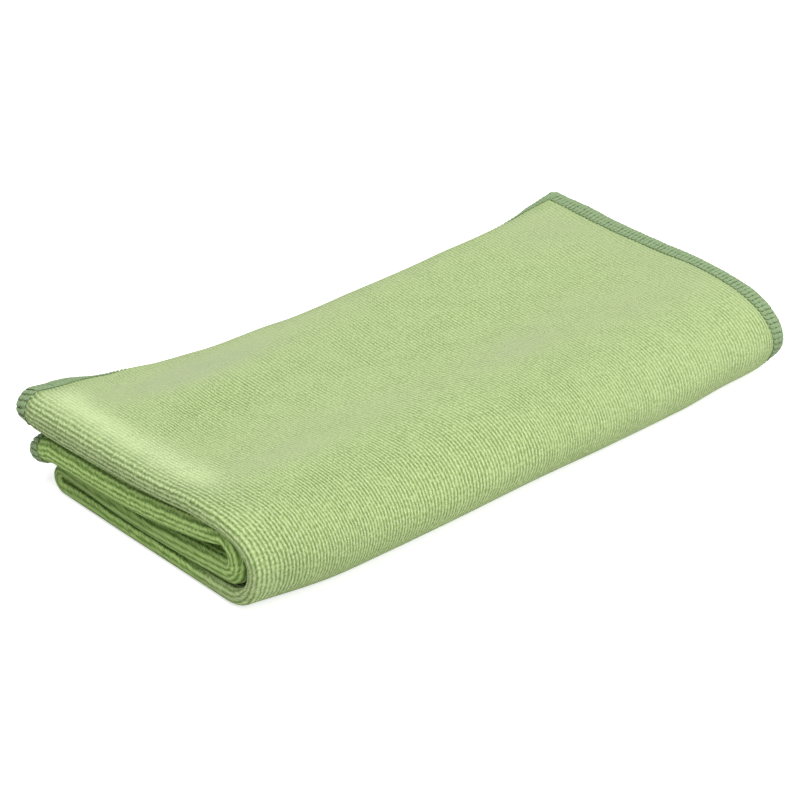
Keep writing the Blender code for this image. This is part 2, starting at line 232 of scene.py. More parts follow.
HANGS = (
    Hang(-101, 6, 6.0, 0.4),
    Hang(-90, 14, 6.0, 1.1),
    Hang(-82, 24, 6.5, 3.0),
    Hang(-72, 42, 7.8, 6.1),
    Hang(-60, 54, 9.2, 8.5),
    Hang(-48, 58, 9.8, 8.6),
    Hang(-30, 58, 9.8, 7.4),
    Hang(-8, 58, 9.8, 7.3),
    Hang(20, 58, 9.8, 8.6),
    Hang(48, 58, 9.8, 8.9),
    Hang(62, 58, 9.8, 8.2),
    Hang(74, 56, 9.6, 7.2),
    Hang(84, 44, 8.0, 4.3),
    Hang(92, 24, 6.4, 1.6),
    Hang(101, 10, 6.0, 0.3),
)

# The places across, from the roll, that the last five columns of LEANS hold for.
LEAN_PLACES = (25.0, 60.0, 100.0, 142.0, 180.0)
LEANS = (
    Lean(0, -0.10, -0.10, 0.05, 0.08, 0.08),
    Lean(16, -0.09, -0.10, 0.10, 0.13, 0.12),
    Lean(26, 0.01, 0.13, 0.22, 0.20, 0.18),
    Lean(36, 0.16, 0.20, 0.19, 0.14, 0.20),
    Lean(43, 0.14, 0.16, 0.14, 0.10, 0.18),
    Lean(50, 0.05, 0.02, 0.04, 0.10, 0.12),
    Lean(58, -0.05, -0.04, -0.02, 0.09, 0.10),
    Lean(68, -0.14, -0.06, -0.20, 0.08, 0.10),
    Lean(78, -0.08, -0.09, -0.14, 0.06, 0.04),
    Lean(84, 0.04, 0.02, 0.10, 0.12, 0.04),
    Lean(90, 0.21, 0.24, 0.24, 0.19, 0.15),
    Lean(97, 0.23, 0.32, 0.33, 0.30, 0.27),
    Lean(108, 0.20, 0.34, 0.36, 0.32, 0.28),
    Lean(120, 0.0, 0.0, 0.0, 0.0, 0.0),
)

NAPS = (
    Nap(-60, 18, 22, 8, -0.32, 12),
    Nap(-62, -17, 20, 6, 0.38, 0),
    Nap(-32, -9, 26, 6, 0.20, -10),
    Nap(-50, 36, 34, 6, 0.45, 0),
    Nap(-24, 44, 70, 7, 0.22, 0),
    Nap(24, -13, 16, 7, 0.35, 0),
    Nap(20, 14, 30, 10, -0.10, 0),
    Nap(66, -18, 26, 14, 0.26, -20),
    Nap(80, 36, 16, 14, 0.22, 0),
    Nap(92, 8, 12, 36, 0.20, 0),
)

PITCHES = (
    Pitch(0, 1.22),
    Pitch(6, 1.2),
    Pitch(13, 1.05),
    Pitch(25, 0.93),
    Pitch(45, 0.92),
    Pitch(75, 0.96),
    Pitch(110, 0.98),
    Pitch(140, 1.0),
    Pitch(185, 1.01),
)


# --------------------------------------------------------------------------------------------
# Soft curves
# --------------------------------------------------------------------------------------------


class Fade(NamedTuple):
    """A soft change along a length: 0 as far as one place and 1 from the other."""

    none: float | Array
    full: float | Array

    def at(self, value: Array) -> Array:
        """The share at each place."""
        t = np.clip((value - self.none) / (self.full - self.none), 0.0, 1.0)
        return t * t * (3 - 2 * t)

    def turned(self) -> Fade:
        """The same change the other way round."""
        return Fade(self.full, self.none)


class Rise(NamedTuple):
    """A soft rise round one place, 1 at its middle."""

    place: float
    width: float

    def at(self, value: Array) -> Array:
        """The share at each place."""
        return np.exp(-(((value - self.place) / self.width) ** 2))


def curve_through(rows: Array, knots: Array, at: Array) -> Array:
    """Values on a smooth curve through rows, which never overshoots between two of them.

    Args:
        rows: One row of values for each knot.
        knots: The positions of the rows, rising.
        at: The positions that are asked for.

    Returns:
        One row of values for each position.
    """
    rows = np.asarray(rows, float)
    knots = np.asarray(knots, float)
    at = np.clip(np.atleast_1d(np.asarray(at, float)), knots[0], knots[-1])
    left = np.clip(np.searchsorted(knots, at, side="right") - 1, 0, len(knots) - 2)
    secants = np.diff(rows, axis=0) / np.diff(knots)[:, None]
    before, after = secants[:-1], secants[1:]
    agree = before * after > 0
    means = np.where(agree, 2 * before * after / np.where(agree, before + after, 1.0), 0.0)
    slopes = np.vstack([secants[:1], means, secants[-1:]])
    span = (knots[left + 1] - knots[left])[:, None]
    t = ((at - knots[left]) / span[:, 0])[:, None]
    return (
        (1 + 2 * t) * (1 - t) ** 2 * rows[left]
        + t * (1 - t) ** 2 * span * slopes[left]
        + t * t * (3 - 2 * t) * rows[left + 1]
        + t * t * (t - 1) * span * slopes[left + 1]
    )


def table_at(rows: tuple, at: Array) -> Array:
    """A table's columns after the first, on smooth curves over the first one."""
    return curve_through([row[1:] for row in rows], [row[0] for row in rows], at)


def soft_patches(x: Array, y: Array, rows: tuple[Trough, ...] | tuple[Nap, ...]) -> Array:
    """The sum of soft oval patches at places in plan.

    Args:
        x: X of each place.
        y: Y of each place.
        rows: Centre, half sizes, weight and turn in degrees of each patch, in that order.

    Returns:
        The summed weight at each place.
    """
    total = np.zeros(np.broadcast(x, y).shape)
    for centre_x, centre_y, half_length, half_width, weight, turn in rows:
        cosine, sine = math.cos(math.radians(turn)), math.sin(math.radians(turn))
        along = (x - centre_x) * cosine + (y - centre_y) * sine
        across = (y - centre_y) * cosine - (x - centre_x) * sine
        total += weight * np.exp(-((along / half_length) ** 2) - (across / half_width) ** 2)
    return total


def wander(at: Array, spacing: float, seed: int) -> Array:
    """A smooth random line between -1 and 1.

    Args:
        at: The places along it that are asked for.
        spacing: About the distance over which it changes.
        seed: Seed of its random draws.

    Returns:
        The line's value at each place.
    """
    low, high = float(at.min()), float(at.max())
    count = max(int((high - low) / spacing) + 3, 4)
    knots = np.linspace(low, high, count)
    values = np.random.default_rng(seed).uniform(-1, 1, (count, 1))
    return curve_through(values, knots, at)[:, 0]


def unit(vectors: Array) -> Array:
    """The vectors at length 1."""
    return vectors / np.maximum(np.linalg.norm(vectors, axis=-1, keepdims=True), 1e-9)


def steps_along(points: Array, axis: int) -> Array:
    """The length of the step to each point of a grid from the one before it along an axis."""
    first = np.take(points, [0], axis=axis)
    return np.linalg.norm(np.diff(points, axis=axis, prepend=first), axis=2)


# --------------------------------------------------------------------------------------------
# The folds
# --------------------------------------------------------------------------------------------


@dataclass(frozen=True)
class FoldPlan:
    """The leaf of two plies, folded in half twice across its width.

    Seen along X, its path starts at the upper back edge and runs over the top panel, down round
    the front wrap, back under the pad, round the back fold, forward, round the inner fold and
    back.
    """

    sections: tuple[Section, ...] = SECTIONS
    stacks: tuple[Stack, ...] = STACKS
    places: tuple[Place, ...] = PLACES
    troughs: tuple[Trough, ...] = TROUGHS
    middle_section: int = 3
    edge_inset: float = 1.05
    edge_zone: float = 9.6
    edge_step: float = 0.8
    station_pitch: float = 3.0
    inner_fold_thins: Fade = Fade(0.25, 0.95)
    fold_passes: int = 6

    def section_at(self, x: float) -> Section:
        """The section across the pad at x, its hems drawn in to the rim of the sheet's middle."""
        hem_1, hem_2, *rest = table_at(self.sections, [x])[0]
        return Section(x, hem_1 - self.edge_inset, hem_2 - self.edge_inset, *rest)

    def heights(self, x: float, y: Array) -> Array:
        """Thicknesses of the panels and gaps in one section.

        Args:
            x: Where the section lies.
            y: The places across it.

        Returns:
            One row for each place, from the lowest panel up.
        """
        across = sorted({row.y for row in self.stacks})
        along = sorted({row.x for row in self.stacks})
        columns = [
            curve_through([row[2:] for row in self.stacks if row.y == place], along, [x])[0]
            for place in across
        ]
        return curve_through(columns, across, y)

    def panel(self, number: int, x: float, y: Array) -> tuple[Array, Array]:
        """One panel of the leaf in a section.

        Args:
            number: The panel, 1 on top to 4 below.
            x: Where the section lies.
            y: The places across it.

        Returns:
            Its middle height and its thickness at each place.
        """
        y = np.atleast_1d(np.asarray(y, float))
        heights = self.heights(x, y)
        layer = 2 * (4 - number)
        low, thick = heights[:, :layer].sum(axis=1), heights[:, layer]
        if number == 1:
            thick = thick - soft_patches(np.full(y.shape, x), y, self.troughs)
        return low + thick / 2, thick

    def flat_run(self, number: int, x: float, start: float, end: float, shares: Array) -> Array:
        """Points of the leaf's middle along a panel: y, z and thickness."""
        y = start + (end - start) * shares
        return np.column_stack([y, *self.panel(number, x, y)])

    def fold_centre(self, lower: int, x: float, outermost: float, side: int) -> float:
        """The y where a fold starts, so that it reaches just to its outermost place.

        Args:
            lower: The panel below the fold.
            x: Where the section lies.
            outermost: Y of the fold's outermost place.
            side: 1 where the fold points back and -1 where it points forward.

        Returns:
            The y of the fold's centre.
        """
        y = outermost
        for _ in range(self.fold_passes):
            (low_z,), (low_thick,) = self.panel(lower, x, y)
            (high_z,), (high_thick,) = self.panel(lower - 1, x, y)
            y = outermost - side * ((high_z - low_z) / 2 + (low_thick + high_thick) / 4)
        return y

    def half_turn(self, x: float, y: float, lower: int, side: int, shares: Array) -> Array:
        """A fold of the leaf from one panel up to the next.

        Args:
            x: Where the section lies.
            y: The fold's centre.
            lower: The panel below the fold.
            side: 1 where the fold points back and -1 where it points forward.
            shares: How far round it each point lies, from 0 to 1.

        Returns:
            Points of the leaf's middle: y, z and thickness.
        """
        (low_z,), (low_thick,) = self.panel(lower, x, y)
        (high_z,), (high_thick,) = self.panel(lower - 1, x, y)
        radius = (high_z - low_z) / 2
        angle = math.pi * shares
        thinner = shares if side > 0 else self.inner_fold_thins.at(shares)
        return np.column_stack(
            [
                y + side * radius * np.sin(angle),
                low_z + radius * (1 - np.cos(angle)),
                low_thick + (high_thick - low_thick) * thinner,
            ]
        )

    def shares(self, number: int) -> Array:
        """The points of one stretch of the path, closer beside the leaf's edges.

        Args:
            number: The stretch, counted from the upper back edge.

        Returns:
            How far along the stretch each point lies, from 0 to below 1.
        """
        steps = self.places[number].strips
        if number not in (0, len(self.places) - 2):
            return np.arange(steps) / steps
        middle = self.sections[self.middle_section]
        length = middle.hem_1 - middle.nose_y - middle.top_reach
        zone = np.arange(0, self.edge_zone, self.edge_step) / length
        rest = np.linspace(self.edge_zone / length, 1, steps - len(zone) + 1)
        if number == 0:
            return np.concatenate([zone, rest[:-1]])
        return np.concatenate([1 - rest[::-1], 1 - zone[:0:-1]])

    def path(self, x: float) -> Array:
        """The middle of the leaf in one section.

        Args:
            x: Where the section lies.

        Returns:
            y, z and thickness at each point along the leaf's path.
        """
        cut = self.section_at(x)
        top_y, foot_y = cut.nose_y + cut.top_reach, cut.nose_y + cut.low_reach
        back_y = self.fold_centre(4, x, cut.back_fold, 1)
        inner_y = self.fold_centre(3, x, cut.inner_fold, -1)
        (top_z,), (top_thick,) = self.panel(1, x, top_y)
        (foot_thick,) = self.panel(4, x, foot_y)[1]
        nose_thick = (top_thick + foot_thick) / 2
        crown_rise = top_z + top_thick / 2 - cut.nose_z

        def quarter(centre: float, reach: float, rise: float, thick: Array, turn: Array) -> Array:
            """A quarter of the front wrap.

            Args:
                centre: Y of its centre.
                reach: How far the cloth's outside reaches forward from there.
                rise: How far it reaches up or down.
                thick: The leaf's thickness at each point.
                turn: How many quarter turns from the top each point lies.

            Returns:
                Points of the leaf's middle.
            """
            angle = math.pi / 2 * turn
            y = centre - (reach - thick / 2) * np.sin(angle)
            z = cut.nose_z + (rise - thick / 2) * np.cos(angle)
            return np.column_stack([y, z, thick])

        upper, lower = self.shares(1), self.shares(2)
        upper_thick = top_thick + (nose_thick - top_thick) * upper
        lower_thick = nose_thick + (foot_thick - nose_thick) * lower
        return np.vstack(
            [
                self.flat_run(1, x, cut.hem_1, top_y, self.shares(0)),
                quarter(top_y, cut.top_reach, crown_rise, upper_thick, upper),
                quarter(foot_y, cut.low_reach, cut.nose_z, lower_thick, 1 + lower),
                self.flat_run(4, x, foot_y, back_y, self.shares(3)),
                self.half_turn(x, back_y, 4, 1, self.shares(4)),
                self.flat_run(3, x, back_y, inner_y, self.shares(5)),
                self.half_turn(x, inner_y, 3, -1, self.shares(6)),
                self.flat_run(2, x, inner_y, cut.hem_2, self.shares(7)),
                self.flat_run(2, x, cut.hem_2, cut.hem_2, np.zeros(1)),
            ]
        )

    def place_values(self) -> Array:
        """The leaf's ends all along its path.

        Returns:
            Its left end and its right edges in the upper and lower ply, at each point.
        """
        strips = [row.solid_strips for row in self.places[:-1]]
        starts = np.concatenate([[0], np.cumsum(strips)])
        at = [starts[i] + self.shares(i) * count for i, count in enumerate(strips)]
        at.append(starts[-1:])
        return curve_through([row[1:4] for row in self.places], starts, np.concatenate(at))

    def stations(self) -> tuple[Array, Array]:
        """Sections a few millimetres apart.

        Returns:
            Their x, and y, z, thickness and normal at each point of each one.
        """
        low, high = self.sections[0].x, self.sections[-1].x
        count = math.ceil((high - low) / self.station_pitch) + 1
        stations = np.linspace(low, high, count)
        paths = []
        for x in stations:
            path = self.path(x)
            run = unit(np.gradient(path[:, :2], axis=0))
            paths.append(np.column_stack([path, run[:, 1], -run[:, 0]]))
        return stations, np.array(paths)


# --------------------------------------------------------------------------------------------
# The sheet
# --------------------------------------------------------------------------------------------


class Edge(Enum):
    """The four cut edges of the cloth, by where they lie in the pad."""

    UPPER_BACK = "upper_back"
    WITHIN = "within"
    RIGHT_UPPER = "right_upper"
    RIGHT_LOWER = "right_lower"


@dataclass
class SheetGrid:
    """The sheet's middle surface as a grid.

    A row runs from the right edge of the upper ply to the roll, round it and back in the lower
    ply. Its lengths across are above 0 in the upper ply and its lengths along run from the upper
    back edge.
    """

    points: Array
    normals: Array
    half_thickness: Array
    across: Array
    along: Array
    edge_distance: Array

    def border(self, edge: Edge) -> tuple[Array, Array]:
        """The grid turned so that its first column is one edge and the next lie further in.

        Args:
            edge: Which edge.

        Returns:
            The turned points and normals.
        """
        points, normals = self.points, self.normals
        if edge in (Edge.UPPER_BACK, Edge.WITHIN):
            points, normals = points.transpose(1, 0, 2), normals.transpose(1, 0, 2)
        if edge in (Edge.WITHIN, Edge.RIGHT_LOWER):
            points, normals = points[:, ::-1], normals[:, ::-1]
        return points, normals

    def skins(self) -> Array:
        """The sheet's two sides, the outer one first."""
        lift = self.normals * self.half_thickness[..., None]
        return np.stack([self.points + lift, self.points - lift])


@dataclass(frozen=True)
class Relief:
    """How the cloth stands off its solid's sheet: puckers, lumps, a dip and the hem's sag."""

    # Puckers beside the hems. The grid's rows and columns are about one step apart.
    pucker_height: float = 0.28
    pucker_pitch: float = 13.0
    right_pucker_share: float = 0.8
    pucker_zone: Fade = Fade(16, 3)
    right_zone: Fade = Fade(18, 4)
    column_step: float = 2.0
    row_step: float = 1.8
    pucker_seeds: tuple[int, int] = (5, 9)

    # Low lumps of three sizes, and the share of the relief that the covered panels keep.
    lump_height: float = 0.10
    lump_spacings: tuple[float, ...] = (9.0, 15.0, 24.0)
    lump_seeds: tuple[int, int] = (21, 31)
    lump_shift: int = 7
    top_panel: Fade = Fade(118, 96)
    covered_relief: float = 0.25

    # The dip beside the upper right hem, and how the hem itself sags.
    dip_depth: float = 1.2
    dip_at: Rise = Rise(8.5, 4.5)
    dip_starts: Fade = Fade(4, 18)
    dip_ends: Fade = Fade(66, 44)
    hem_sag: float = 0.65
    sag_zone: Fade = Fade(8, 1)
    sag_starts: Fade = Fade(14, 26)
    sag_ends: Fade = Fade(84, 66)

    def puckers(self, grid: SheetGrid) -> Array:
        """Puckers beside the hems.

        Args:
            grid: The sheet's middle surface.

        Returns:
            Their height at each point.
        """
        rows, columns = grid.across.shape
        back_seed, right_seed = self.pucker_seeds
        back = wander(np.arange(columns) * self.column_step, self.pucker_pitch, back_seed)
        right_pitch = self.pucker_pitch * self.right_pucker_share
        right = wander(np.arange(rows) * self.row_step, right_pitch, right_seed)
        near_right = self.right_zone.at(np.abs(grid.across[:, :1]) - np.abs(grid.across))
        pucker = back[None, :] * (1 - near_right) + right[:, None] * near_right
        return self.pucker_zone.at(grid.edge_distance) * self.pucker_height * pucker

    def lumps(self, grid: SheetGrid) -> Array:
        """Low lumps of several sizes, all over.

        Args:
            grid: The sheet's middle surface.

        Returns:
            Their height at each point.
        """
        rows, columns = grid.across.shape
        height = np.zeros((rows, columns))
        for index, spacing in enumerate(self.lump_spacings):
            first = wander(grid.across[rows // 8], spacing, self.lump_seeds[0] + index)
            second = wander(grid.along[:, columns // 2], spacing, self.lump_seeds[1] + index)
            height += np.outer(np.roll(second, self.lump_shift * index), first) * self.lump_height
        return height

    def lift(self, grid: SheetGrid) -> Array:
        """How far the sheet stands proud of its solid's middle.

        Args:
            grid: The sheet's middle surface.

        Returns:
            The height at each point, which is below 0 in the dip and where the hem sags.
        """
        upper_ply = grid.across > 0
        from_right = grid.across[:, :1] - grid.across
        dip = self.dip_at.at(from_right)
        dip *= self.dip_starts.at(grid.along) * self.dip_ends.at(grid.along) * upper_ply
        sag = self.sag_zone.at(from_right) * self.sag_starts.at(grid.along) * upper_ply
        sag *= self.hem_sag * self.sag_ends.at(grid.along)
        on_top = self.top_panel.at(grid.along) * upper_ply
        share = self.covered_relief + (1 - self.covered_relief) * on_top
        raised = (self.puckers(grid) + self.lumps(grid)) * share
        return raised - self.dip_depth * dip - sag


@dataclass(frozen=True)
class KnitLie:
    """How the knit lies on the sheet: the lines of its ribs, its pile and where it is drawn."""

    # Brushed pile over the top and the front wrap.
    naps: tuple[Nap, ...] = NAPS
    top_brushed: float = 0.42
    top_rows: Fade = Fade(96, 66)
    top_columns: Fade = Fade(1, 12)
    nose_brushed: float = 0.32
    nose_columns: Fade = Fade(50, 150)

    # Ribs that stand apart round the end roll, less so at the front wrap.
    bold_columns: Fade = Fade(24.0, 9.0)
    bold_nose_starts: Fade = Fade(70, 88)
    bold_nose_ends: Fade = Fade(124, 112)
    nose_calms: float = 0.7

    # A painted highlight along the top of the end roll, and the panels that the top one covers.
    highlight_band: Rise = Rise(10.5, 6.0)
    highlight_starts: Fade = Fade(3, 12)
    highlight_ends: Fade = Fade(80, 60)
    # The covered panels also get a painted tint of shade and bounced light: greener and less blue.
    sheltered: Fade = Fade(112.0, 132.0)
    seam_tint: Fade = Fade(8.5, 4.5)

    # How the ribs lean off their line and draw together.
    leans: tuple[Lean, ...] = LEANS
    lean_columns: Fade = Fade(0, 34.0)
    lean_pivot: float = 60.0
    pitches: tuple[Pitch, ...] = PITCHES
    sheltered_pitch: float = 1.18
    longest_row: float = 220.0

    def rib_coordinates(self, grid: SheetGrid) -> Array:
        """The sheet's own coordinates across and along its ribs, which lean and draw together.

        Args:
            grid: The sheet's middle surface.

        Returns:
            The two coordinates of each point, measured on the sheet's outer side.
        """
        along = grid.along
        lengths = np.cumsum(steps_along(grid.skins()[0], 1), axis=1)
        roll = lengths.shape[1] // 2
        outer = lengths[:, roll : roll + 1] - lengths
        distance = np.abs(outer)

        rows = table_at(self.leans, along.ravel())
        place = np.interp(distance.ravel(), LEAN_PLACES, np.arange(len(LEAN_PLACES)))
        low = np.clip(place.astype(int), 0, len(LEAN_PLACES) - 2)
        share, index = place - low, np.arange(len(place))
        lean = rows[index, low] * (1 - share) + rows[index, low + 1] * share
        steps = np.diff(along, axis=0, prepend=along[:1])
        turned = np.cumsum(lean.reshape(along.shape) * steps, axis=0)
        pivot = [np.interp(self.lean_pivot, *column) for column in zip(along.T, turned.T)]
        turned = (turned - np.array(pivot)) * self.lean_columns.at(distance)

        fine = np.arange(0.0, self.longest_row)
        spread = 1 / np.interp(fine, *zip(*self.pitches))
        evened = np.interp(distance, fine, np.cumsum(spread) - spread[0])
        evened /= 1 + (self.sheltered_pitch - 1) * self.sheltered.at(along)
        return np.stack([np.sign(outer) * (evened + turned), along], axis=-1)

    def brushed(self, grid: SheetGrid) -> Array:
        """Where the pile lies over the ribs.

        Args:
            grid: The sheet's middle surface.

        Returns:
            The share at each point, from 0 to 1.
        """
        patches = soft_patches(grid.points[..., 0], grid.points[..., 1], self.naps)
        on_top = self.top_rows.at(grid.along) * self.top_columns.at(grid.across)
        nose = self.top_rows.turned().at(grid.along) * self.nose_columns.at(grid.across)
        nose *= self.nose_brushed * self.sheltered.turned().at(grid.along)
        return np.clip((self.top_brushed + patches) * on_top + nose, 0, 1)

    def bold(self, grid: SheetGrid) -> Array:
        """Where the ribs stand apart, round the end roll, from 0 to 1."""
        nose = self.bold_nose_starts.at(grid.along) * self.bold_nose_ends.at(grid.along)
        return self.bold_columns.at(np.abs(grid.across)) * (1 - self.nose_calms * nose)

    def painted_highlight(self, grid: SheetGrid) -> Array:
        """Where a painted highlight lies, along the top of the end roll, from 0 to 1."""
        highlight_band = self.highlight_band.at(grid.across) * self.highlight_ends.at(grid.along)
        return highlight_band * self.highlight_starts.at(grid.along)

    def shares(self, grid: SheetGrid) -> dict[str, Array]:
        """What the knit's finish reads from the mesh.

        Args:
            grid: The sheet's middle surface.

        Returns:
            Shares from 0 to 1 at each point, by the names of their attributes.
        """
        return {
            "brushed": self.brushed(grid),
            "bold": self.bold(grid),
            "painted_highlight": self.painted_highlight(grid),
            "sheltered": self.sheltered.at(grid.along),
            "seam": self.seam_tint.at(grid.edge_distance),
        }


@dataclass(frozen=True)
class FoldedSheet:
    """The one piece of cloth, folded: its sizes and its mesh."""

    plan: FoldPlan = FoldPlan()
    relief: Relief = Relief()
    lie: KnitLie = KnitLie()
    finish: RibbedKnit = field(default_factory=lambda: RibbedKnit())

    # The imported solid's sheet and the roll at its left end.
    solid_sheet: float = 1.5
    solid_edge_sheet: float = 2.0
    edge_width: float = 5.5
    edge_ramp: float = 2.0
    roll_fullness: float = 1.08
    corner_round: float = 7.0
    corner_back: float = 1.2
    corner_pinch: float = 0.12

    # How much squarer than round the roll is, by the leaf's thickness and the place along it.
    roll_squareness: float = 1.1
    square_if_thick: Fade = Fade(3.0, 5.5)
    square_inside: Fade = Fade(4.0, 20.0)

    # The shown cloth: squeezed under the stitches, drawn in beside them and full further in.
    cloth_thickness: float = 1.5
    seam_thickness: float = 1.2
    seam_opens: Fade = Fade(3.6, 6.4)
    seam_groove: float = 0.16
    seam_groove_at: Rise = Rise(5.6, 0.8)
    seam_swell: float = 0.14
    seam_swell_at: Rise = Rise(8.2, 1.8)

    # The grid's strips, which lie closer beside the roll, and the strips round its rim.
    ply_strips: int = 86
    crowding: float = 0.18
    edge_zone: float = 8.0
    edge_strips: int = 7
    roll_strips: int = 18
    rim_strips: int = 4

    # The upper ply's back edge, which hangs over the lower one's.
    hangs: tuple[Hang, ...] = HANGS
    hang_bend: float = 4.5
    hang_tuck: float = 0.35
    hang_rows: int = 14
    hang_columns: Fade = Fade(-4, 5)

    def solid_thickness(self, distance: Array) -> Array:
        """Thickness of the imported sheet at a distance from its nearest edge."""
        share = np.clip((self.edge_width + self.edge_ramp - distance) / self.edge_ramp, 0, 1)
        return self.solid_sheet + (self.solid_edge_sheet - self.solid_sheet) * share

    def own_thickness(self, distance: Array) -> Array:
        """Thickness of the shown cloth.

        Args:
            distance: The distance from its nearest edge.

        Returns:
            The thickness at each place.
        """
        opened = (self.cloth_thickness - self.seam_thickness) * self.seam_opens.at(distance)
        groove = self.seam_groove * self.seam_groove_at.at(distance)
        swell = self.seam_swell * self.seam_swell_at.at(distance)
        return self.seam_thickness + opened - groove + swell

    def row_of(self, place: Array, to_end: float, stations: Array, paths: Array) -> Array:
        """One row of the grid, by the solid's rule for where its sheet's middle lies.

        Args:
            place: The leaf's left end and its right edges in the upper and lower ply.
            to_end: Distance along the path to the nearer end of the leaf.
            stations: X of the sections.
            paths: y, z, thickness and normal of this row's point in each section.

        Returns:
            The row's points.
        """
        left_end, *right_edges = place
        rounding = max(1 - to_end / self.corner_round, 0.0) ** 2
        end_thick = np.interp(left_end, stations, paths[:, 2])
        depth = self.roll_fullness * end_thick * (1 - self.corner_pinch * rounding) / 2
        roll_x = left_end + self.corner_back * rounding + depth

        def at(x: Array, lift: Array, sheet: Array) -> Array:
            """Points whose distance from the leaf's middle is a share of half its thickness.

            Args:
                x: The places along the row.
                lift: The share at each place, from -1 to 1.
                sheet: The sheet's thickness at each place.

            Returns:
                The points.
            """
            y, z, thick, out_y, out_z = (np.interp(x, stations, paths[:, k]) for k in range(5))
            pinch = 1 - self.corner_pinch * rounding * Rise(roll_x, self.corner_round).at(x)
            offset = lift * (thick * pinch - sheet) / 2
            return np.column_stack([x, y + out_y * offset, z + out_z * offset])

        plies = []
        for side, right in zip((1.0, -1.0), right_edges):
            border = right - self.plan.edge_inset
            inner = border - self.edge_zone
            even = np.arange(self.ply_strips) / self.ply_strips
            wave = self.crowding * np.sin(2 * math.pi * even) / (2 * math.pi)
            shares = even + wave - self.crowding * even * (1 - even)
            body = roll_x + (inner - roll_x) * shares
            x = np.concatenate([body, np.linspace(inner, border, self.edge_strips + 1)])
            sheet = self.solid_thickness(np.minimum(to_end, right - x))
            plies.append(at(x, np.full(x.shape, side), sheet))
        angle = math.pi * np.arange(1, self.roll_strips) / self.roll_strips
        sheet = float(self.solid_thickness(np.array(to_end)))
        squareness = self.roll_squareness * self.square_if_thick.at(end_thick)
        power = 2 / (2 + squareness * self.square_inside.at(to_end))
        lift = np.sign(np.cos(angle)) * np.abs(np.cos(angle)) ** power
        roll = at(np.full(angle.shape, roll_x), lift, np.full(angle.shape, sheet))
        roll[:, 0] = roll_x - (depth - sheet / 2) * np.sin(angle) ** power
        return np.vstack([plies[0][::-1], roll, plies[1]])

    def grid(self) -> SheetGrid:
        """The sheet's middle surface with its relief.

        Returns:
            Its points, normals, thickness and the cloth's own lengths.
        """
        stations, paths = self.plan.stations()
        inset = self.plan.edge_inset
        middle = paths[len(stations) // 2][:, :2]
        runs = np.linalg.norm(np.diff(middle, axis=0), axis=1)
        lengths = np.concatenate([[0], np.cumsum(runs)]) + inset
        to_ends = np.minimum(lengths, lengths[-1] + inset - lengths)
        rows = zip(self.plan.place_values(), to_ends, paths.transpose(1, 0, 2))
        points = np.array([self.row_of(place, end, stations, path) for place, end, path in rows])
        self.hang_over(points)
        across = np.cumsum(steps_along(points, 1), axis=1)
        along = np.cumsum(steps_along(points, 0), axis=0)
        to_sides = np.minimum(across, across[:, -1:] - across)
        edge_distance = inset + np.minimum(to_sides, np.minimum(along, along[-1:] - along))
        roll = points.shape[1] // 2
        grid = SheetGrid(
            points=points,
            normals=self.normals_of(points),
            half_thickness=self.own_thickness(edge_distance) / 2,
            across=across[:, roll : roll + 1] - across,
            along=along,
            edge_distance=edge_distance,
        )
        grid.points = points + grid.normals * self.relief.lift(grid)[..., None]
        grid.normals = self.normals_of(grid.points)
        return grid

    def hang_over(self, points: Array) -> None:
        """Lengthens the upper ply at its back edge and lets it hang down over the lower ply's.

        Args:
            points: The grid's points, whose first rows are moved.
        """
        zone = points[: self.hang_rows]
        reach = np.cumsum(steps_along(zone[:1], 1)[0])
        upper = self.hang_columns.at(reach[points.shape[1] // 2] - reach)
        droop, start, added = table_at(self.hangs, zone[0, :, 0]).T
        steps = zone[:-1] - zone[1:]
        lengths = np.linalg.norm(steps, axis=2)
        stretch = 1 + added * (upper - self.hang_tuck * (1 - upper)) / lengths.sum(axis=0)
        steps, lengths = steps * stretch[:, None], lengths * stretch
        middles = np.cumsum(lengths, axis=0) - lengths / 2 + self.plan.edge_inset
        hanging = 1 - Fade(start - self.hang_bend, start).at(middles)
        angle = np.radians(droop) * upper * hanging
        flat = unit(np.stack([0 * steps[..., 0], -steps[..., 2], steps[..., 1]], axis=-1))
        turned = steps * np.cos(angle)[..., None] - flat * (lengths * np.sin(angle))[..., None]
        points[: self.hang_rows - 1] = zone[-1] + np.cumsum(turned[::-1], axis=0)[::-1]

    def normals_of(self, points: Array) -> Array:
        """Unit normals of the grid, on the side that is up on the top panel.

        Args:
            points: The grid's points.

        Returns:
            The normal at each point.
        """
        normals = unit(np.cross(np.gradient(points, axis=0), np.gradient(points, axis=1)))
        on_top = normals[normals.shape[0] // 12, normals.shape[1] // 4]
        return normals if on_top[2] > 0 else -normals

    def rim_of(self, grid: SheetGrid) -> tuple[Array, Array]:
        """The border of the grid as one loop.

        Args:
            grid: The sheet's middle surface.

        Returns:
            The indices of the border's points in the flattened grid, and outward directions.
        """
        rows, columns = grid.across.shape
        index = np.arange(rows * columns).reshape(rows, columns)
        loop, inward = (
            np.concatenate([back[:-1], left[:-1], front[:0:-1], right[:0:-1]])
            for back, left, front, right in (
                (index[0], index[:, -1], index[-1], index[:, 0]),
                (index[1], index[:, -2], index[-2], index[:, 1]),
            )
        )
        points = grid.points.reshape(-1, 3)
        outward = unit(points[loop] - points[inward])
        for corner in (0, columns - 1, columns + rows - 2, 2 * columns + rows - 3):
            outward[corner] = unit(outward[corner - 1] + outward[(corner + 1) % len(loop)])
        return loop, outward

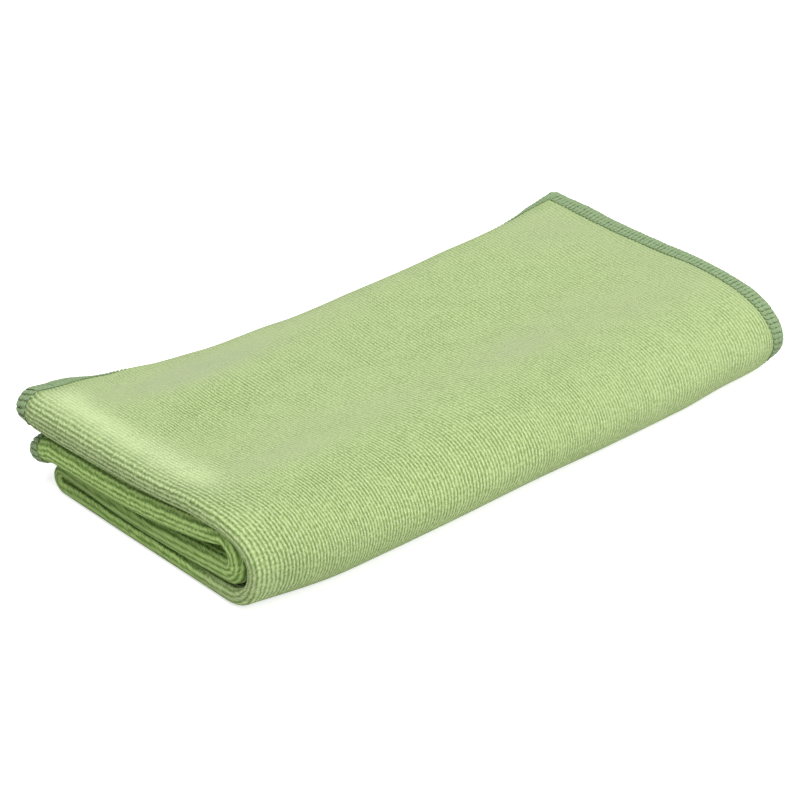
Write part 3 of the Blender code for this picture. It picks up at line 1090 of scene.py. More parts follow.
    def skin_faces(self, grid: SheetGrid, loop: Array) -> Array:
        """The four-cornered faces of the sheet's two sides and of its rim.

        Args:
            grid: The sheet's middle surface.
            loop: The indices of its border's points.

        Returns:
            Four indices for each face.
        """
        rows, columns = grid.across.shape
        count = rows * columns
        index = np.arange(count).reshape(rows, columns)
        corners = (index[:-1, :-1], index[1:, :-1], index[1:, 1:], index[:-1, 1:])
        side = np.stack([corner.ravel() for corner in corners], axis=1)
        faces = [side, side[:, ::-1] + count]
        between = 2 * count + np.arange(len(loop) * (self.rim_strips - 1))
        rings = [loop, *between.reshape(-1, len(loop)), loop + count]
        for upper, lower in zip(rings, rings[1:]):
            ring = [upper, np.roll(upper, -1), np.roll(lower, -1), lower]
            faces.append(np.stack(ring, axis=1))
        return np.vstack(faces)

    def build(self, grid: SheetGrid, place: Placement) -> bpy.types.Object:
        """Makes the closed sheet as a mesh piece.

        Args:
            grid: The sheet's middle surface.
            place: Where the pad stands.

        Returns:
            The piece.
        """
        loop, outward = self.rim_of(grid)
        vertices = [grid.skins().reshape(-1, 3)]
        points, normals = grid.points.reshape(-1, 3)[loop], grid.normals.reshape(-1, 3)[loop]
        half = grid.half_thickness.reshape(-1, 1)[loop]
        for strip in range(1, self.rim_strips):
            angle = math.pi * strip / self.rim_strips
            ring = outward * math.sin(angle) + normals * math.cos(angle)
            vertices.append(points + ring * half)
        mesh = quad_mesh("cloth_sheet", np.vstack(vertices), self.skin_faces(grid, loop), place)

        def on_skins(values: Array) -> Array:
            """The grid's values for each point of the two sides, and of the rim between them."""
            return np.concatenate([values, values] + [values[loop]] * (self.rim_strips - 1))

        own = self.lie.rib_coordinates(grid).reshape(-1, 2)
        write_uv(mesh, "cloth_lie", on_skins(own) * MM)
        for name, values in self.lie.shares(grid).items():
            write_value(mesh, name, on_skins(values.ravel()))
        mesh.materials.append(self.finish.material())
        return new_object("cloth_sheet", mesh)


# --------------------------------------------------------------------------------------------
# Overlock stitches
# --------------------------------------------------------------------------------------------


@dataclass(frozen=True)
class EdgeStrip:
    """The sheet beside one of its edges, to be read at a distance along it and one inwards."""

    points: Array
    normals: Array
    lengths: Array
    inward_step: float

    # How many of the grid's columns are searched for the strip's reach.
    COLUMNS = 24

    @classmethod
    def of(cls, grid: SheetGrid, edge: Edge, reach: float, step: float) -> EdgeStrip:
        """Reads the strip beside an edge from the sheet.

        Args:
            grid: The sheet's middle surface.
            edge: Which edge.
            reach: How far in the strip goes.
            step: The distance between its points inwards.

        Returns:
            The strip.
        """
        points, normals = (part[:, : cls.COLUMNS] for part in grid.border(edge))
        depth = np.cumsum(steps_along(points, 1), axis=1)
        at = np.arange(0, reach + step, step)

        def evened(part: Array) -> Array:
            """One array of the grid, read at even steps inwards."""
            rows = [[np.interp(at, d, p[:, k]) for k in range(3)] for d, p in zip(depth, part)]
            return np.array(rows).transpose(0, 2, 1)

        places = evened(points)
        runs = np.linalg.norm(np.diff(places[:, 0], axis=0), axis=1)
        lengths = np.concatenate([[0], np.cumsum(runs)])
        return cls(places, unit(evened(normals)), lengths, step)

    def length(self) -> float:
        """How long the edge is."""
        return float(self.lengths[-1])

    def read(self, along: Array, inward: Array) -> tuple[Array, Array, Array]:
        """Points, normals and outward directions at places in the strip.

        Args:
            along: Distances along the edge.
            inward: Distances in from it, of the same shape.

        Returns:
            Points, unit normals and unit vectors that point off the edge.
        """
        t = np.interp(along, self.lengths, np.arange(len(self.lengths)))
        r = np.clip(inward / self.inward_step, 0, self.points.shape[1] - 1.001)
        i = np.clip(t.astype(int), 0, len(self.lengths) - 2)
        j = r.astype(int)
        u, v = (t - i)[..., None], (r - j)[..., None]

        def blend(values: Array) -> Array:
            """Bilinear reading of one array.

            Args:
                values: The array.

            Returns:
                What it holds at the asked places.
            """
            return (
                values[i, j] * (1 - u) * (1 - v)
                + values[i + 1, j] * u * (1 - v)
                + values[i, j + 1] * (1 - u) * v
                + values[i + 1, j + 1] * u * v
            )

        outward = unit(self.points[:, 0] - self.points[:, 1])
        off = outward[i] * (1 - u) + outward[i + 1] * u
        return blend(self.points), unit(blend(self.normals)), unit(off)


class Stitches(NamedTuple):
    """One kind of stitch along an edge: vertices, faces and how deep each vertex is sunk, painted
    as shade.
    """

    vertices: Array
    faces: Array
    sunk: Array


@dataclass(frozen=True)
class OverlockStitch:
    """The overlock round the cloth's edge: wrapped looper thread and a needle row beside it.

    Random shares are of the pitch, the size or a millimetre, to either side.
    """

    edge: Edge
    finish: EdgingThread = field(default_factory=lambda: EdgingThread())
    pitch: float = 1.45
    cloth_half: float = 0.58
    corner_narrowing: float = 0.0
    corner_reach: Fade = Fade(34.0, 6)
    strip_spare: float = 0.6
    strip_step: float = 0.35
    seed: int = 3

    # The looper thread, which wraps the edge, dips under the two crossing threads and tapers.
    cover: float = 4.35
    slant: float = 0.6
    strand_width: float = 0.78
    strand_height: float = 0.26
    outer_fullness: float = 0.02
    outer_part: Fade = Fade(1.9, 0.6)
    dip_at: tuple[float, float] = (2.05, 3.85)
    dip_width: float = 0.34
    dip_share: float = 0.36
    taper: Fade = Fade(0, 0.5)
    tapered_size: float = 0.25
    least_lift: float = 0.25
    full_lift: float = 0.80
    least_width: float = 0.35
    least_height: float = 0.3
    margin: float = 0.4
    first_at: float = 0.1
    random_pitch: float = 0.06
    random_size: float = 0.10
    sides: int = 7
    flat_points: int = 13
    wrap_points: int = 7

    # The needle thread, which shows as a row of short stitches.
    needle_inset: float = 4.25
    needle_length: float = 1.1
    needle_width: float = 0.34
    needle_flatness: float = 0.8
    needle_end: float = 0.35
    needle_lift: float = 0.06
    needle_bulge: float = 0.30
    # How much painted shade the needle stitches' ends get.
    needle_sunk: float = 0.55
    needle_margin: float = 0.6
    needle_first_at: float = 0.9
    needle_random_pitch: float = 0.05
    needle_random_inset: float = 0.06
    needle_sides: int = 6
    needle_points: int = 8
    needle_seed_after: int = 50

    def narrowing(self, along: Array) -> Array:
        """The share of its width that the edging shows, which shrinks as it curls at a corner."""
        return 1 - self.corner_narrowing * self.corner_reach.at(along)

    def profile(self) -> tuple[Array, Array, Array, Array]:
        """One stitch of looper thread, from the needle row over the edge to the far side.

        Returns:
            Distance inwards, turn about the edge, share of the slant and size, at each point.
        """
        top = np.linspace(self.cover, 0, self.flat_points, endpoint=False)
        turn = np.linspace(0, math.pi, self.wrap_points)
        bottom = np.linspace(0, self.cover, self.flat_points + 1)[1:]
        inward = np.concatenate([top, np.zeros(self.wrap_points), bottom])
        angle = np.concatenate([np.zeros(len(top)), turn, np.full(len(bottom), math.pi)])
        progress = np.arange(len(inward)) / (len(inward) / 2)
        slant = np.where(progress <= 1, progress, 2 - progress) * self.slant
        dips = sum(Rise(at, self.dip_width).at(inward) for at in self.dip_at)
        ends = self.taper.at(self.cover - inward)
        tapered = self.tapered_size + (1 - self.tapered_size) * ends
        return inward, angle, slant, (1 - self.dip_share * dips) * tapered

    def strands(self, strip: EdgeStrip) -> Stitches:
        """The looper thread's wrapped strands along one edge.

        Args:
            strip: The sheet beside the edge.

        Returns:
            The strands.
        """
        inward, angle, slant, size = self.profile()
        count = int((strip.length() - 2 * self.margin) / self.pitch)
        rng = np.random.default_rng(self.seed)
        places = np.arange(count) + self.first_at + self.random_pitch * rng.uniform(-1, 1, count)
        starts = self.margin + self.pitch * places
        along = starts[:, None] + slant[None, :] * self.pitch
        swell = 1 + self.random_size * rng.uniform(-1, 1, (count, 1))
        points, normals, off = strip.read(along, inward * self.narrowing(along))
        turned = np.cos(angle)[None, :, None] * normals + np.sin(angle)[None, :, None] * off
        lift = self.least_lift + (self.full_lift - self.least_lift) * size
        height = self.cloth_half + self.strand_height * lift * swell
        full = 1 + self.outer_fullness * self.outer_part.at(inward)
        wide = self.least_width + (1 - self.least_width) * size
        tall = self.least_height + (1 - self.least_height) * size
        vertices, faces = tubes(
            points + turned * height[..., None],
            turned,
            self.strand_width * wide * swell * full,
            self.strand_height * tall * swell,
            self.sides,
        )
        # How sunk each ring lies, for the painted shade in the thread's dips.
        sunk = np.repeat(1 - np.clip(size, 0, 1), self.sides)
        return Stitches(vertices, faces, np.tile(sunk, count))

    def needle_row(self, strip: EdgeStrip) -> Stitches:
        """The short straight stitches beside the strands, on the outer face.

        Args:
            strip: The sheet beside the edge.

        Returns:
            The stitches.
        """
        count = int((strip.length() - 2 * self.needle_margin) / self.pitch) - 1
        rng = np.random.default_rng(self.seed + self.needle_seed_after)
        share = np.linspace(-0.5, 0.5, self.needle_points)
        strays = self.needle_random_pitch * rng.uniform(-1, 1, count)
        places = np.arange(count) + self.needle_first_at + strays
        starts = self.needle_margin + self.pitch * places
        along = starts[:, None] + share[None, :] * self.needle_length
        inset = self.needle_inset + self.needle_random_inset * rng.uniform(-1, 1, (count, 1))
        points, normals, _ = strip.read(along, inset * self.narrowing(along))
        bulge = np.sqrt(np.clip(1 - (2 * share) ** 2, 0, 1))
        height = self.cloth_half + self.needle_lift + self.needle_bulge * bulge
        size = np.broadcast_to(self.needle_end + (1 - self.needle_end) * bulge, along.shape)
        vertices, faces = tubes(
            points + normals * height[None, :, None],
            normals,
            self.needle_width * size,
            self.needle_flatness * self.needle_width * size,
            self.needle_sides,
        )
        # How sunk each ring lies, for the painted shade at the needle stitches' ends.
        sunk = np.repeat(self.needle_sunk * (1 - bulge), self.needle_sides)
        return Stitches(vertices, faces, np.tile(sunk, count))

    def build(self, grid: SheetGrid, place: Placement) -> bpy.types.Object:
        """Makes the stitches of this edge as one joined mesh piece.

        Args:
            grid: The sheet's middle surface.
            place: Where the pad stands.

        Returns:
            The piece.
        """
        strip = EdgeStrip.of(grid, self.edge, self.cover + self.strip_spare, self.strip_step)
        loops, needle = self.strands(strip), self.needle_row(strip)
        vertices = np.vstack([loops.vertices, needle.vertices])
        faces = np.vstack([loops.faces, needle.faces + len(loops.vertices)])
        mesh = quad_mesh(f"overlock_{self.edge.value}", vertices, faces, place)
        write_value(mesh, "sunk", np.concatenate([loops.sunk, needle.sunk]))
        mesh.materials.append(self.finish.material())
        return new_object(mesh.name, mesh)


# --------------------------------------------------------------------------------------------
# Meshes
# --------------------------------------------------------------------------------------------


@dataclass(frozen=True)
class Placement:
    """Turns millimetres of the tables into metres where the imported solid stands."""

    shift: tuple[float, float, float]

    @classmethod
    def over_solid(cls, grid: SheetGrid) -> Placement:
        """Lays the sheet on its solid, by the left, front and underside, which have no stitches.

        Args:
            grid: The sheet's middle surface.

        Returns:
            The placement.
        """
        low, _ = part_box(CLOTH_NODE)
        return cls(tuple(np.array(low) - grid.skins().min(axis=(0, 1, 2)) * MM))

    def metres(self, points: Array) -> Array:
        """Points of the tables as places in the frame."""
        return points * MM + np.array(self.shift)


def tubes(
    centres: Array, normals: Array, wide: Array, tall: Array, sides: int
) -> tuple[Array, Array]:
    """Flattened tubes along many short lines at once, with open ends.

    Args:
        centres: Points of each line, as lines by points by 3.
        normals: The direction of the flat side's height at each point.
        wide: Half width at each point.
        tall: Half height at each point.
        sides: Corners of each ring.

    Returns:
        Vertices and four-cornered faces.
    """
    lines, points = centres.shape[:2]
    run = unit(np.gradient(centres, axis=1))
    side = unit(np.cross(run, normals))
    up = unit(np.cross(side, run))
    angle = 2 * math.pi * np.arange(sides) / sides
    flat = side[:, :, None] * (np.cos(angle)[:, None] * wide[:, :, None, None])
    raised = up[:, :, None] * (np.sin(angle)[:, None] * tall[:, :, None, None])
    vertices = (centres[:, :, None] + (flat + raised)).reshape(-1, 3)
    index = np.arange(lines * points * sides).reshape(lines, points, sides)
    following = np.roll(index, -1, axis=2)
    corners = [index[:, :-1], following[:, :-1], following[:, 1:], index[:, 1:]]
    return vertices, np.stack(corners, axis=-1).reshape(-1, 4)


def quad_mesh(name: str, points: Array, faces: Array, place: Placement) -> bpy.types.Mesh:
    """A smooth mesh of four-cornered faces.

    Args:
        name: The mesh's name.
        points: Vertices in millimetres of the tables.
        faces: Four indices for each face.
        place: Where the pad stands.

    Returns:
        The mesh, in metres of the frame.
    """
    mesh = bpy.data.meshes.new(name)
    mesh.vertices.add(len(points))
    mesh.vertices.foreach_set("co", place.metres(points).astype(np.float32).ravel())
    mesh.loops.add(faces.size)
    mesh.loops.foreach_set("vertex_index", faces.astype(np.int32).ravel())
    mesh.polygons.add(len(faces))
    mesh.polygons.foreach_set("loop_start", np.arange(0, faces.size, 4, dtype=np.int32))
    mesh.update(calc_edges=True)
    mesh.validate()
    mesh.shade_smooth()
    return mesh


def write_uv(mesh: bpy.types.Mesh, name: str, values: Array) -> None:
    """Stores a pair of numbers for each vertex as a UV map.

    Args:
        mesh: The mesh.
        name: The map's name.
        values: The pairs.
    """
    corners = np.empty(len(mesh.loops), np.int32)
    mesh.loops.foreach_get("vertex_index", corners)
    layer = mesh.uv_layers.new(name=name)
    layer.data.foreach_set("uv", values[corners].astype(np.float32).ravel())


def write_value(mesh: bpy.types.Mesh, name: str, values: Array) -> None:
    """Stores a number for each vertex as an attribute."""
    attribute = mesh.attributes.new(name, "FLOAT", "POINT")
    attribute.data.foreach_set("value", values.astype(np.float32))


def new_object(name: str, data: bpy.types.ID) -> bpy.types.Object:
    """Puts a mesh, a light or a camera in the scene.

    Args:
        name: The object's name.
        data: What it shows.

    Returns:
        The object.
    """
    made = bpy.data.objects.new(name, data)
    bpy.context.scene.collection.objects.link(made)
    return made


# --------------------------------------------------------------------------------------------
# Finishes
# --------------------------------------------------------------------------------------------


class Wiring:
    """Adds nodes to one node tree and joins them."""

    def __init__(self, tree: bpy.types.NodeTree) -> None:
        """Takes the tree that the nodes go into."""
        self.tree = tree

    def join(self, source: Source, target: Socket) -> None:
        """Feeds a socket from another one, or sets its constant.

        Args:
            source: The other socket, or the constant.
            target: The socket that is fed.
        """
        if isinstance(source, Socket):
            self.tree.links.new(source, target)
        else:
            target.default_value = source

    def feed(self, node: bpy.types.Node, sources: dict[str, Source]) -> None:
        """Feeds a node's inputs by their names."""
        for name, source in sources.items():
            self.join(source, node.inputs[name])

    def node(
        self, kind: str, sources: dict[str, Source] | None = None, **settings: object
    ) -> bpy.types.Node:
        """Adds a node.

        Args:
            kind: The node's kind.
            sources: What feeds its inputs, by their names.
            settings: Its properties, by their names.

        Returns:
            The node.
        """
        made = self.tree.nodes.new(kind)
        for name, value in settings.items():
            setattr(made, name, value)
        self.feed(made, sources or {})
        return made

    def math(self, operation: str, *values: Source, clamp: bool = False) -> Socket:
        """One step of arithmetic.

        Args:
            operation: The step.
            values: The numbers or sockets that it takes.
            clamp: Whether its result is kept from 0 to 1.

        Returns:
            The result.
        """
        made = self.node("ShaderNodeMath", operation=operation, use_clamp=clamp)
        for value, socket in zip(values, made.inputs):
            self.join(value, socket)
        return made.outputs[0]

    def times(self, first: Source, second: Source, clamp: bool = False) -> Socket:
        """A product."""
        return self.math("MULTIPLY", first, second, clamp=clamp)

    def plus(self, first: Source, second: Source, clamp: bool = False) -> Socket:
        """A sum."""
        return self.math("ADD", first, second, clamp=clamp)

    def minus(self, first: Source, second: Source, clamp: bool = False) -> Socket:
        """A difference."""
        return self.math("SUBTRACT", first, second, clamp=clamp)

    def over(self, first: Source, second: Source) -> Socket:
        """A quotient."""
        return self.math("DIVIDE", first, second)

    def line(self, value: Source, slope: Source, start: Source) -> Socket:
        """The value times the slope, plus the start."""
        return self.math("MULTIPLY_ADD", value, slope, start)

    def noise(self, vector: Source, scale: Source, detail: float, rough: float = 0.5) -> Socket:
        """Noise from 0 to 1 over a vector."""
        sources = {"Vector": vector, "Scale": scale, "Detail": detail, "Roughness": rough}
        return self.node("ShaderNodeTexNoise", sources, noise_dimensions="3D").outputs["Fac"]

    def span(self, value: Source, start: Span, end: Span) -> Socket:
        """A number moved softly from one span to another.

        Args:
            value: The number.
            start: The span that it comes from.
            end: The span that it goes to.

        Returns:
            The moved number.
        """
        sources = {"Value": value, "From Min": start[0], "From Max": start[1]}
        sources |= {"To Min": end[0], "To Max": end[1]}
        moved = self.node("ShaderNodeMapRange", sources, interpolation_type="SMOOTHSTEP")
        return moved.outputs["Result"]

    def mix(self, share: Source, first: Source, second: Source, blend: str = "MIX") -> Socket:
        """A mix of two colours.

        Args:
            share: How much of the second one is in it.
            first: The first colour.
            second: The second colour.
            blend: How the second one is laid over the first.

        Returns:
            The mixed colour.
        """
        sources = {"Factor": share, "A": first, "B": second}
        mixed = self.node("ShaderNodeMix", sources, data_type="RGBA", blend_type=blend)
        return mixed.outputs["Result"]

    def attribute(self, name: str) -> Socket:
        """A number that the mesh holds for each vertex."""
        return self.node("ShaderNodeAttribute", attribute_name=name).outputs["Fac"]

    def in_millimetres(self, vector: Source) -> Socket:
        """A vector in metres, turned to millimetres."""
        sources = {"Vector": vector, "Scale": 1 / MM}
        return self.node("ShaderNodeVectorMath", sources, operation="SCALE").outputs[0]

    def bump(self, height: Source, distance: float) -> Socket:
        """The normal of a relief."""
        sources = {"Height": height, "Strength": 1.0, "Distance": distance}
        return self.node("ShaderNodeBump", sources).outputs["Normal"]


def rgba(colour: Colour) -> tuple[float, float, float, float]:
    """A colour with full alpha."""
    return (*colour, 1.0)


class Port(NamedTuple):
    """An input of a node group: its name, its start value, and whether it is a vector."""

    name: str
    start: float = 0.0
    vector: bool = False


def new_group(name: str, inputs: tuple[Port, ...], outputs: tuple[str, ...]) -> bpy.types.NodeTree:
    """A new shader node group with named sockets.

    Args:
        name: The group's name.
        inputs: Its inputs.
        outputs: The names of its outputs, which are numbers.

    Returns:
        The group.
    """
    group = bpy.data.node_groups.new(name, "ShaderNodeTree")
    for port in inputs:
        kind = "NodeSocketVector" if port.vector else "NodeSocketFloat"
        socket = group.interface.new_socket(port.name, in_out="INPUT", socket_type=kind)
        if not port.vector:
            socket.default_value = port.start
    for label in outputs:
        group.interface.new_socket(label, in_out="OUTPUT", socket_type="NodeSocketFloat")
    return group


class Fuzz:
    """Loose fibre ends on knit and thread, as a node group that both materials use."""

    NAME = "fibre_fuzz"
    INPUTS = (Port("Vector", vector=True), Port("Fibre Size", 0.3), Port("Mottle Size", 9.0))

    # Detail and roughness of the fine height and of the wide mottle.
    HEIGHT = (2.0, 0.6)
    MOTTLE = (3.0, 0.55)

    @classmethod
    def group(cls) -> bpy.types.NodeTree:
        """The group, built once.

        Returns:
            The group, which puts out a fine height and a wide mottle, each from 0 to 1.
        """
        known = bpy.data.node_groups.get(cls.NAME)
        if known:
            return known
        group = new_group(cls.NAME, cls.INPUTS, ("Height", "Mottle"))
        wires = Wiring(group)
        entry = wires.node("NodeGroupInput").outputs
        fine, wide = wires.over(1.0, entry["Fibre Size"]), wires.over(1.0, entry["Mottle Size"])
        height = wires.noise(entry["Vector"], fine, *cls.HEIGHT)
        mottle = wires.noise(entry["Vector"], wide, *cls.MOTTLE)
        wires.node("NodeGroupOutput", {"Height": height, "Mottle": mottle})
        return group


@dataclass(frozen=True)
class Textile:
    """What knit and thread share: a dull material with fuzz and relief. Sizes are millimetres."""

    name: str
    colour: Colour
    fibre_size: float
    mottle_size: float
    relief: float
    roughness: float
    specular: float

    def look(self, wires: Wiring) -> dict[str, Source]:
        """What feeds the shader's colour, normal and sheen, by the names of its inputs."""
        raise NotImplementedError

    def fuzz(self, wires: Wiring, lie: Socket) -> bpy.types.NodeOutputs:
        """The fuzz of this textile at a place in millimetres."""
        sources = {"Vector": lie, "Fibre Size": self.fibre_size, "Mottle Size": self.mottle_size}
        return wires.node("ShaderNodeGroup", sources, node_tree=Fuzz.group()).outputs

    def material(self) -> bpy.types.Material:
        """The material, built once.

        Returns:
            The material.
        """
        known = bpy.data.materials.get(self.name)
        if known:
            return known
        material = bpy.data.materials.new(self.name)
        material.use_nodes = True
        material.diffuse_color = rgba(self.colour)
        wires = Wiring(material.node_tree)
        shader = material.node_tree.nodes["Principled BSDF"]
        dull = {"Roughness": self.roughness, "Specular IOR Level": self.specular}
        wires.feed(shader, {**self.look(wires), **dull})
        return material


@dataclass(frozen=True)
class RibbedKnit(Textile):
    """Ribbed microfibre knit: ribs of small loops, with fuzz and patches of brushed pile."""

    name: str = "green_microfibre_knit"
    colour: Colour = (0.439, 0.543, 0.256)
    # Painted shade in the rib grooves, darker still where the ribs stand apart round the end roll.
    groove: Colour = (0.14, 0.238, 0.049)
    deep_groove_shade: Colour = (0.095, 0.172, 0.03)
    brushed: Colour = (0.314, 0.359, 0.216)
    seam: Colour = (0.293, 0.403, 0.171)
    # A painted highlight along the top of the end roll.
    roll_highlight: Colour = (0.56, 0.68, 0.35)
    # A painted tint of shade and bounced light on the covered panels: more green, less blue.
    sheltered: Colour = (0.98, 1.12, 0.77)
    # How strongly the painted highlight and the seam colour show.
    roll_highlight_share: float = 0.7
    seam_share: float = 0.55

    fibre_size: float = 0.4
    mottle_size: float = 7.5
    relief: float = 0.42
    roughness: float = 0.95
    specular: float = 0.15
    sheen: float = 0.10
    sheen_roughness: float = 0.55
    sheen_tint: Colour = (0.86, 0.95, 0.72)

    # The ribs, and the scales and widths of their wander.
    rib_pitch: float = 1.12
    loop_pitch: float = 1.05
    waver: float = 0.34
    drifts: tuple[Span, ...] = ((0.95, 1.0), (0.33, 1.5), (0.045, 3.0))
    ridge_power: float = 0.58
    bold_power: float = 0.14
    bold_raises: float = 0.5

    # The loops, and the pores between the ribs.
    loop_randomness: float = 0.75
    loop_span: Span = (0.15, 0.75)
    between_loops: float = 0.48
    pore_scale: float = 1.1
    pore_span: Span = (0.32, 0.68)
    pore_depths: Span = (0.62, 1.12)

    # Brushed pile: its ragged edge, how it hides, raises and greys the ribs, and the fuzz on it.
    ragged_span: Span = (0.35, 0.65)
    ragged_width: float = 0.14
    brushed_hides: float = 0.85
    brushed_lifts: float = 0.36
    brushed_fuzz: float = 0.2
    plain_fuzz: float = 0.45
    veil_share: float = 1.1
    veil_grain: float = 1.4
    veil_least: float = 0.2
    tone_share: float = 0.95
    tone_span: Span = (0.10, 1.12)

    def ribs(self) -> bpy.types.NodeTree:
        """The rib pattern as a node group.

        Returns:
            The group, which puts out the knit's height and its tone.
        """
        inputs = (
            Port("Lie", vector=True),
            Port("Rib Pitch", self.rib_pitch),
            Port("Loop Pitch", self.loop_pitch),
            Port("Waver", self.waver),
            Port("Brushed"),
            Port("Bold"),
            Port("Fuzz", 0.5),
        )
        group = new_group("knit_ribs", inputs, ("Height", "Tone"))
        wires = Wiring(group)
        entry = wires.node("NodeGroupInput").outputs
        lie, brushed, bold = entry["Lie"], entry["Brushed"], entry["Bold"]
        place = wires.node("ShaderNodeSeparateXYZ", {"Vector": lie}).outputs

        shift: Source = 0.0
        for scale, width in self.drifts:
            shift = wires.line(wires.minus(wires.noise(lie, scale, 1.0), 0.5), width, shift)
        shifted = wires.plus(place["X"], wires.times(shift, entry["Waver"]))
        phase = wires.over(shifted, entry["Rib Pitch"])
        wave = wires.math("COSINE", wires.times(phase, 2 * math.pi))
        power = wires.line(bold, self.bold_power, self.ridge_power)
        ridge = wires.math("POWER", wires.line(wave, 0.5, 0.5), power)

        row = wires.over(place["Y"], entry["Loop Pitch"])
        cell = wires.node("ShaderNodeCombineXYZ", {"X": wires.plus(phase, 0.5), "Y": row})
        sources = {"Vector": cell.outputs[0], "Scale": 1.0, "Randomness": self.loop_randomness}
        loops = wires.node("ShaderNodeTexVoronoi", sources, voronoi_dimensions="2D", feature="F1")
        bead = wires.span(loops.outputs["Distance"], self.loop_span, (1.0, 0.0))
        bead = wires.line(bead, 1 - self.between_loops, self.between_loops)

        pores = wires.noise(lie, self.pore_scale, 2.0)
        pores = wires.span(pores, self.pore_span, self.pore_depths)
        gap = wires.times(wires.minus(1.0, ridge), pores)
        shaped = wires.times(bead, wires.minus(1.0, gap, clamp=True))
        shaped = wires.times(shaped, wires.line(brushed, -self.brushed_hides, 1.0))
        grain = wires.line(brushed, self.brushed_fuzz, self.plain_fuzz)
        fuzz = wires.times(entry["Fuzz"], grain)
        height = wires.times(wires.plus(shaped, fuzz), wires.line(bold, self.bold_raises, 1.0))
        # The tone, with fuzz, runs from the painted groove shade to the ridges' own colour.
        lifted = wires.line(shaped, self.tone_share, wires.times(brushed, self.brushed_lifts))
        tone = wires.span(wires.plus(lifted, fuzz), self.tone_span, (0.0, 1.0))
        wires.node("NodeGroupOutput", {"Height": height, "Tone": tone})
        return group

    def look(self, wires: Wiring) -> dict[str, Source]:
        """The knit's colour, normal and sheen.

        Args:
            wires: The wiring of its material.

        Returns:
            What feeds the shader, by the names of its inputs.
        """
        lie = wires.in_millimetres(wires.node("ShaderNodeUVMap", uv_map="cloth_lie").outputs["UV"])
        fuzz = self.fuzz(wires, lie)
        patch, bold = wires.attribute("brushed"), wires.attribute("bold")
        width = self.ragged_width
        ragged = wires.span(fuzz["Mottle"], self.ragged_span, (-width, width))
        brushed = wires.plus(patch, ragged, clamp=True)
        sources = {"Lie": lie, "Brushed": brushed, "Bold": bold, "Fuzz": fuzz["Height"]}
        ribs = wires.node("ShaderNodeGroup", sources, node_tree=self.ribs()).outputs

        # Painted shade: the grooves between the ribs, and deeper ones round the end roll, are
        # darker.
        groove = wires.mix(bold, rgba(self.groove), rgba(self.deep_groove_shade))
        colour = wires.mix(ribs["Tone"], groove, rgba(self.colour))
        grain = wires.line(fuzz["Height"], self.veil_grain, self.veil_least)
        veil = wires.times(wires.times(patch, patch), grain)
        # Painted highlight along the top of the end roll.
        pale = wires.times(wires.attribute("painted_highlight"), self.roll_highlight_share)
        shade = wires.times(wires.attribute("seam"), self.seam_share)
        veil = wires.times(veil, self.veil_share, clamp=True)
        colour = wires.mix(veil, colour, rgba(self.brushed))
        colour = wires.mix(pale, colour, rgba(self.roll_highlight))
        colour = wires.mix(shade, colour, rgba(self.seam))
        # Painted shade and bounced light: the covered panels are tinted greener and less blue.
        inside = wires.attribute("sheltered")
        return {
            "Base Color": wires.mix(inside, colour, rgba(self.sheltered), "MULTIPLY"),
            "Normal": wires.bump(ribs["Height"], self.relief * MM),
            "Sheen Weight": self.sheen,
            "Sheen Roughness": self.sheen_roughness,
            "Sheen Tint": rgba(self.sheen_tint),
        }


@dataclass(frozen=True)
class EdgingThread(Textile):
    """Soft textured thread of the overlock, a little bluer than the knit."""

    name: str = "green_edging_thread"
    colour: Colour = (0.232, 0.323, 0.175)
    # Painted shade where the thread dips and sinks in, mixed with a random unevenness of the
    # thread's tone.
    sunk: Colour = (0.175, 0.255, 0.122)
    fibre_size: float = 0.5
    mottle_size: float = 6.0
    relief: float = 0.3
    roughness: float = 0.85
    specular: float = 0.25
    uneven: float = 1.6
    uneven_least: float = -0.6

    def look(self, wires: Wiring) -> dict[str, Source]:
        """The thread's colour and normal.

        Args:
            wires: The wiring of its material.

        Returns:
            What feeds the shader, by the names of its inputs.
        """
        place = wires.node("ShaderNodeTexCoord").outputs["Object"]
        fuzz = self.fuzz(wires, wires.in_millimetres(place))
        # The sunk colour is painted shade in the dips, plus a random unevenness of tone.
        uneven = wires.line(fuzz["Height"], self.uneven, self.uneven_least)
        share = wires.plus(wires.attribute("sunk"), uneven, clamp=True)
        return {
            "Base Color": wires.mix(share, rgba(self.colour), rgba(self.sunk)),
            "Normal": wires.bump(fuzz["Height"], self.relief * MM),
        }


# --------------------------------------------------------------------------------------------
# Studio
# --------------------------------------------------------------------------------------------


class Lamp(NamedTuple):
    """A soft area light: direction from the pad in degrees, distance, size and power."""

    name: str
    azimuth: float
    elevation: float
    distance: float
    size: float
    power: float


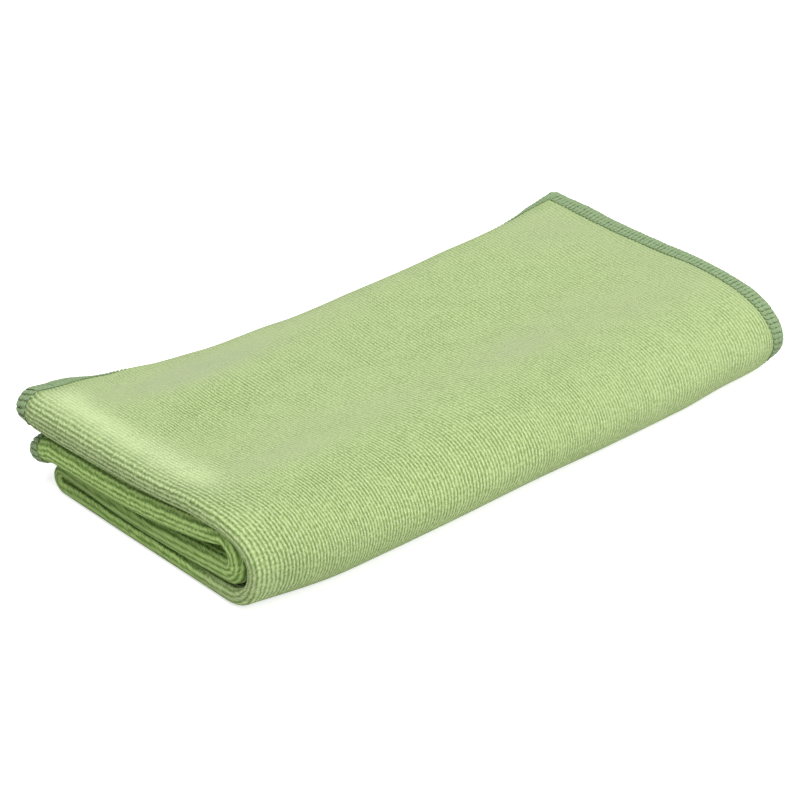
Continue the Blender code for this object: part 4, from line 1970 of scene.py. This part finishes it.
@dataclass(frozen=True)
class Studio:
    """A plain pale floor, soft lights and the camera at the photograph's angle, in metres."""

    floor_side: float = 6.0
    floor_gap: float = 0.0002
    floor_colour: Colour = (0.72, 0.72, 0.72)
    floor_glow: float = 0.65
    ambient: float = 0.56
    camera_azimuth: float = -42.0
    camera_elevation: float = 29.21
    camera_distance: float = 0.65
    camera_clips: Span = (0.01, 20.0)
    sensor_width: float = 36.0
    focal_pixels: float = 2354.0
    picture_side: float = 800.0
    aim: tuple[float, float, float] = (-0.00864, -0.00278, 0.0105)
    lamps: tuple[Lamp, ...] = (
        Lamp("key", -60.0, 78.0, 3.0, 2.2, 76.0),
        Lamp("fill", 5.0, 34.0, 3.0, 2.0, 43.0),
    )

    @staticmethod
    def turn_to(piece: bpy.types.Object, azimuth: float, elevation: float) -> Vector:
        """Turns a lamp or the camera, so that it looks back from a direction.

        Args:
            piece: The lamp or the camera.
            azimuth: The direction's angle in plan, in degrees from the front.
            elevation: Its angle above the floor, in degrees.

        Returns:
            The unit vector towards where the piece stands.
        """
        a, e = math.radians(azimuth), math.radians(elevation)
        towards = Vector((math.sin(a) * math.cos(e), -math.cos(a) * math.cos(e), math.sin(e)))
        piece.rotation_mode = "QUATERNION"
        piece.rotation_quaternion = towards.to_track_quat("Z", "Y")
        return towards

    def build_floor(self) -> bpy.types.Object:
        """The floor, just under the pad.

        Returns:
            The floor.
        """
        half = self.floor_side / 2
        mesh = bpy.data.meshes.new("studio_floor")
        corners = [(-half, -half), (half, -half), (half, half), (-half, half)]
        mesh.from_pydata([(x, y, -self.floor_gap) for x, y in corners], [], [(0, 1, 2, 3)])
        material = bpy.data.materials.new("pale_floor")
        material.use_nodes = True
        wires = Wiring(material.node_tree)
        wires.feed(
            material.node_tree.nodes["Principled BSDF"],
            {
                "Base Color": rgba(self.floor_colour),
                "Roughness": 1.0,
                "Specular IOR Level": 0.0,
                "Emission Color": wires.node("ShaderNodeLightPath").outputs["Is Camera Ray"],
                "Emission Strength": self.floor_glow,
            },
        )
        mesh.materials.append(material)
        return new_object("studio_floor", mesh)

    def build_lights(self) -> None:
        """An even white surround and the soft lamps."""
        world = bpy.data.worlds.new("studio_surround")
        world.use_nodes = True
        surround = world.node_tree.nodes["Background"].inputs
        surround["Strength"].default_value = self.ambient
        surround["Color"].default_value = (1, 1, 1, 1)
        bpy.context.scene.world = world
        for row in self.lamps:
            data = bpy.data.lights.new(row.name, "AREA")
            data.shape = "DISK"
            data.size = row.size
            data.energy = row.power
            lamp = new_object(row.name, data)
            lamp.location = self.turn_to(lamp, row.azimuth, row.elevation) * row.distance

    def build_camera(self) -> None:
        """The camera, as far off and as long as the photograph shows."""
        data = bpy.data.cameras.new("camera")
        data.sensor_width = self.sensor_width
        data.lens = self.focal_pixels / self.picture_side * data.sensor_width
        data.clip_start, data.clip_end = self.camera_clips
        camera = new_object("camera", data)
        towards = self.turn_to(camera, self.camera_azimuth, self.camera_elevation)
        camera.location = Vector(self.aim) + towards * self.camera_distance
        bpy.context.scene.camera = camera

    def build(self) -> bpy.types.Object:
        """Builds the whole studio.

        Returns:
            Its floor.
        """
        self.build_lights()
        self.build_camera()
        bpy.context.scene.view_settings.view_transform = "Standard"
        return self.build_floor()


# --------------------------------------------------------------------------------------------
# The whole
# --------------------------------------------------------------------------------------------


def main() -> None:
    """Builds the sheet, its stitches and the studio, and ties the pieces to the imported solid."""
    logging.basicConfig(level=logging.INFO, format="%(message)s")
    sheet = FoldedSheet()
    grid = sheet.grid()
    LOG.info("sheet grid: %d rows of %d points", *grid.across.shape)
    place = Placement.over_solid(grid)
    cloth = sheet.build(grid, place)
    LOG.info("%s: %d faces", cloth.name, len(cloth.data.polygons))
    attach(cloth, "root")
    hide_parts(CLOTH_NODE)
    for edge in Edge:
        narrowing = CORNER_NARROWING if edge is Edge.UPPER_BACK else 0.0
        piece = OverlockStitch(edge, corner_narrowing=narrowing).build(grid, place)
        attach(piece, "root")
        LOG.info("%s: %d faces", piece.name, len(piece.data.polygons))
    floor = Studio().build()
    LOG.info("studio: floor, lamps and camera")


if __name__ == "__main__":
    main()
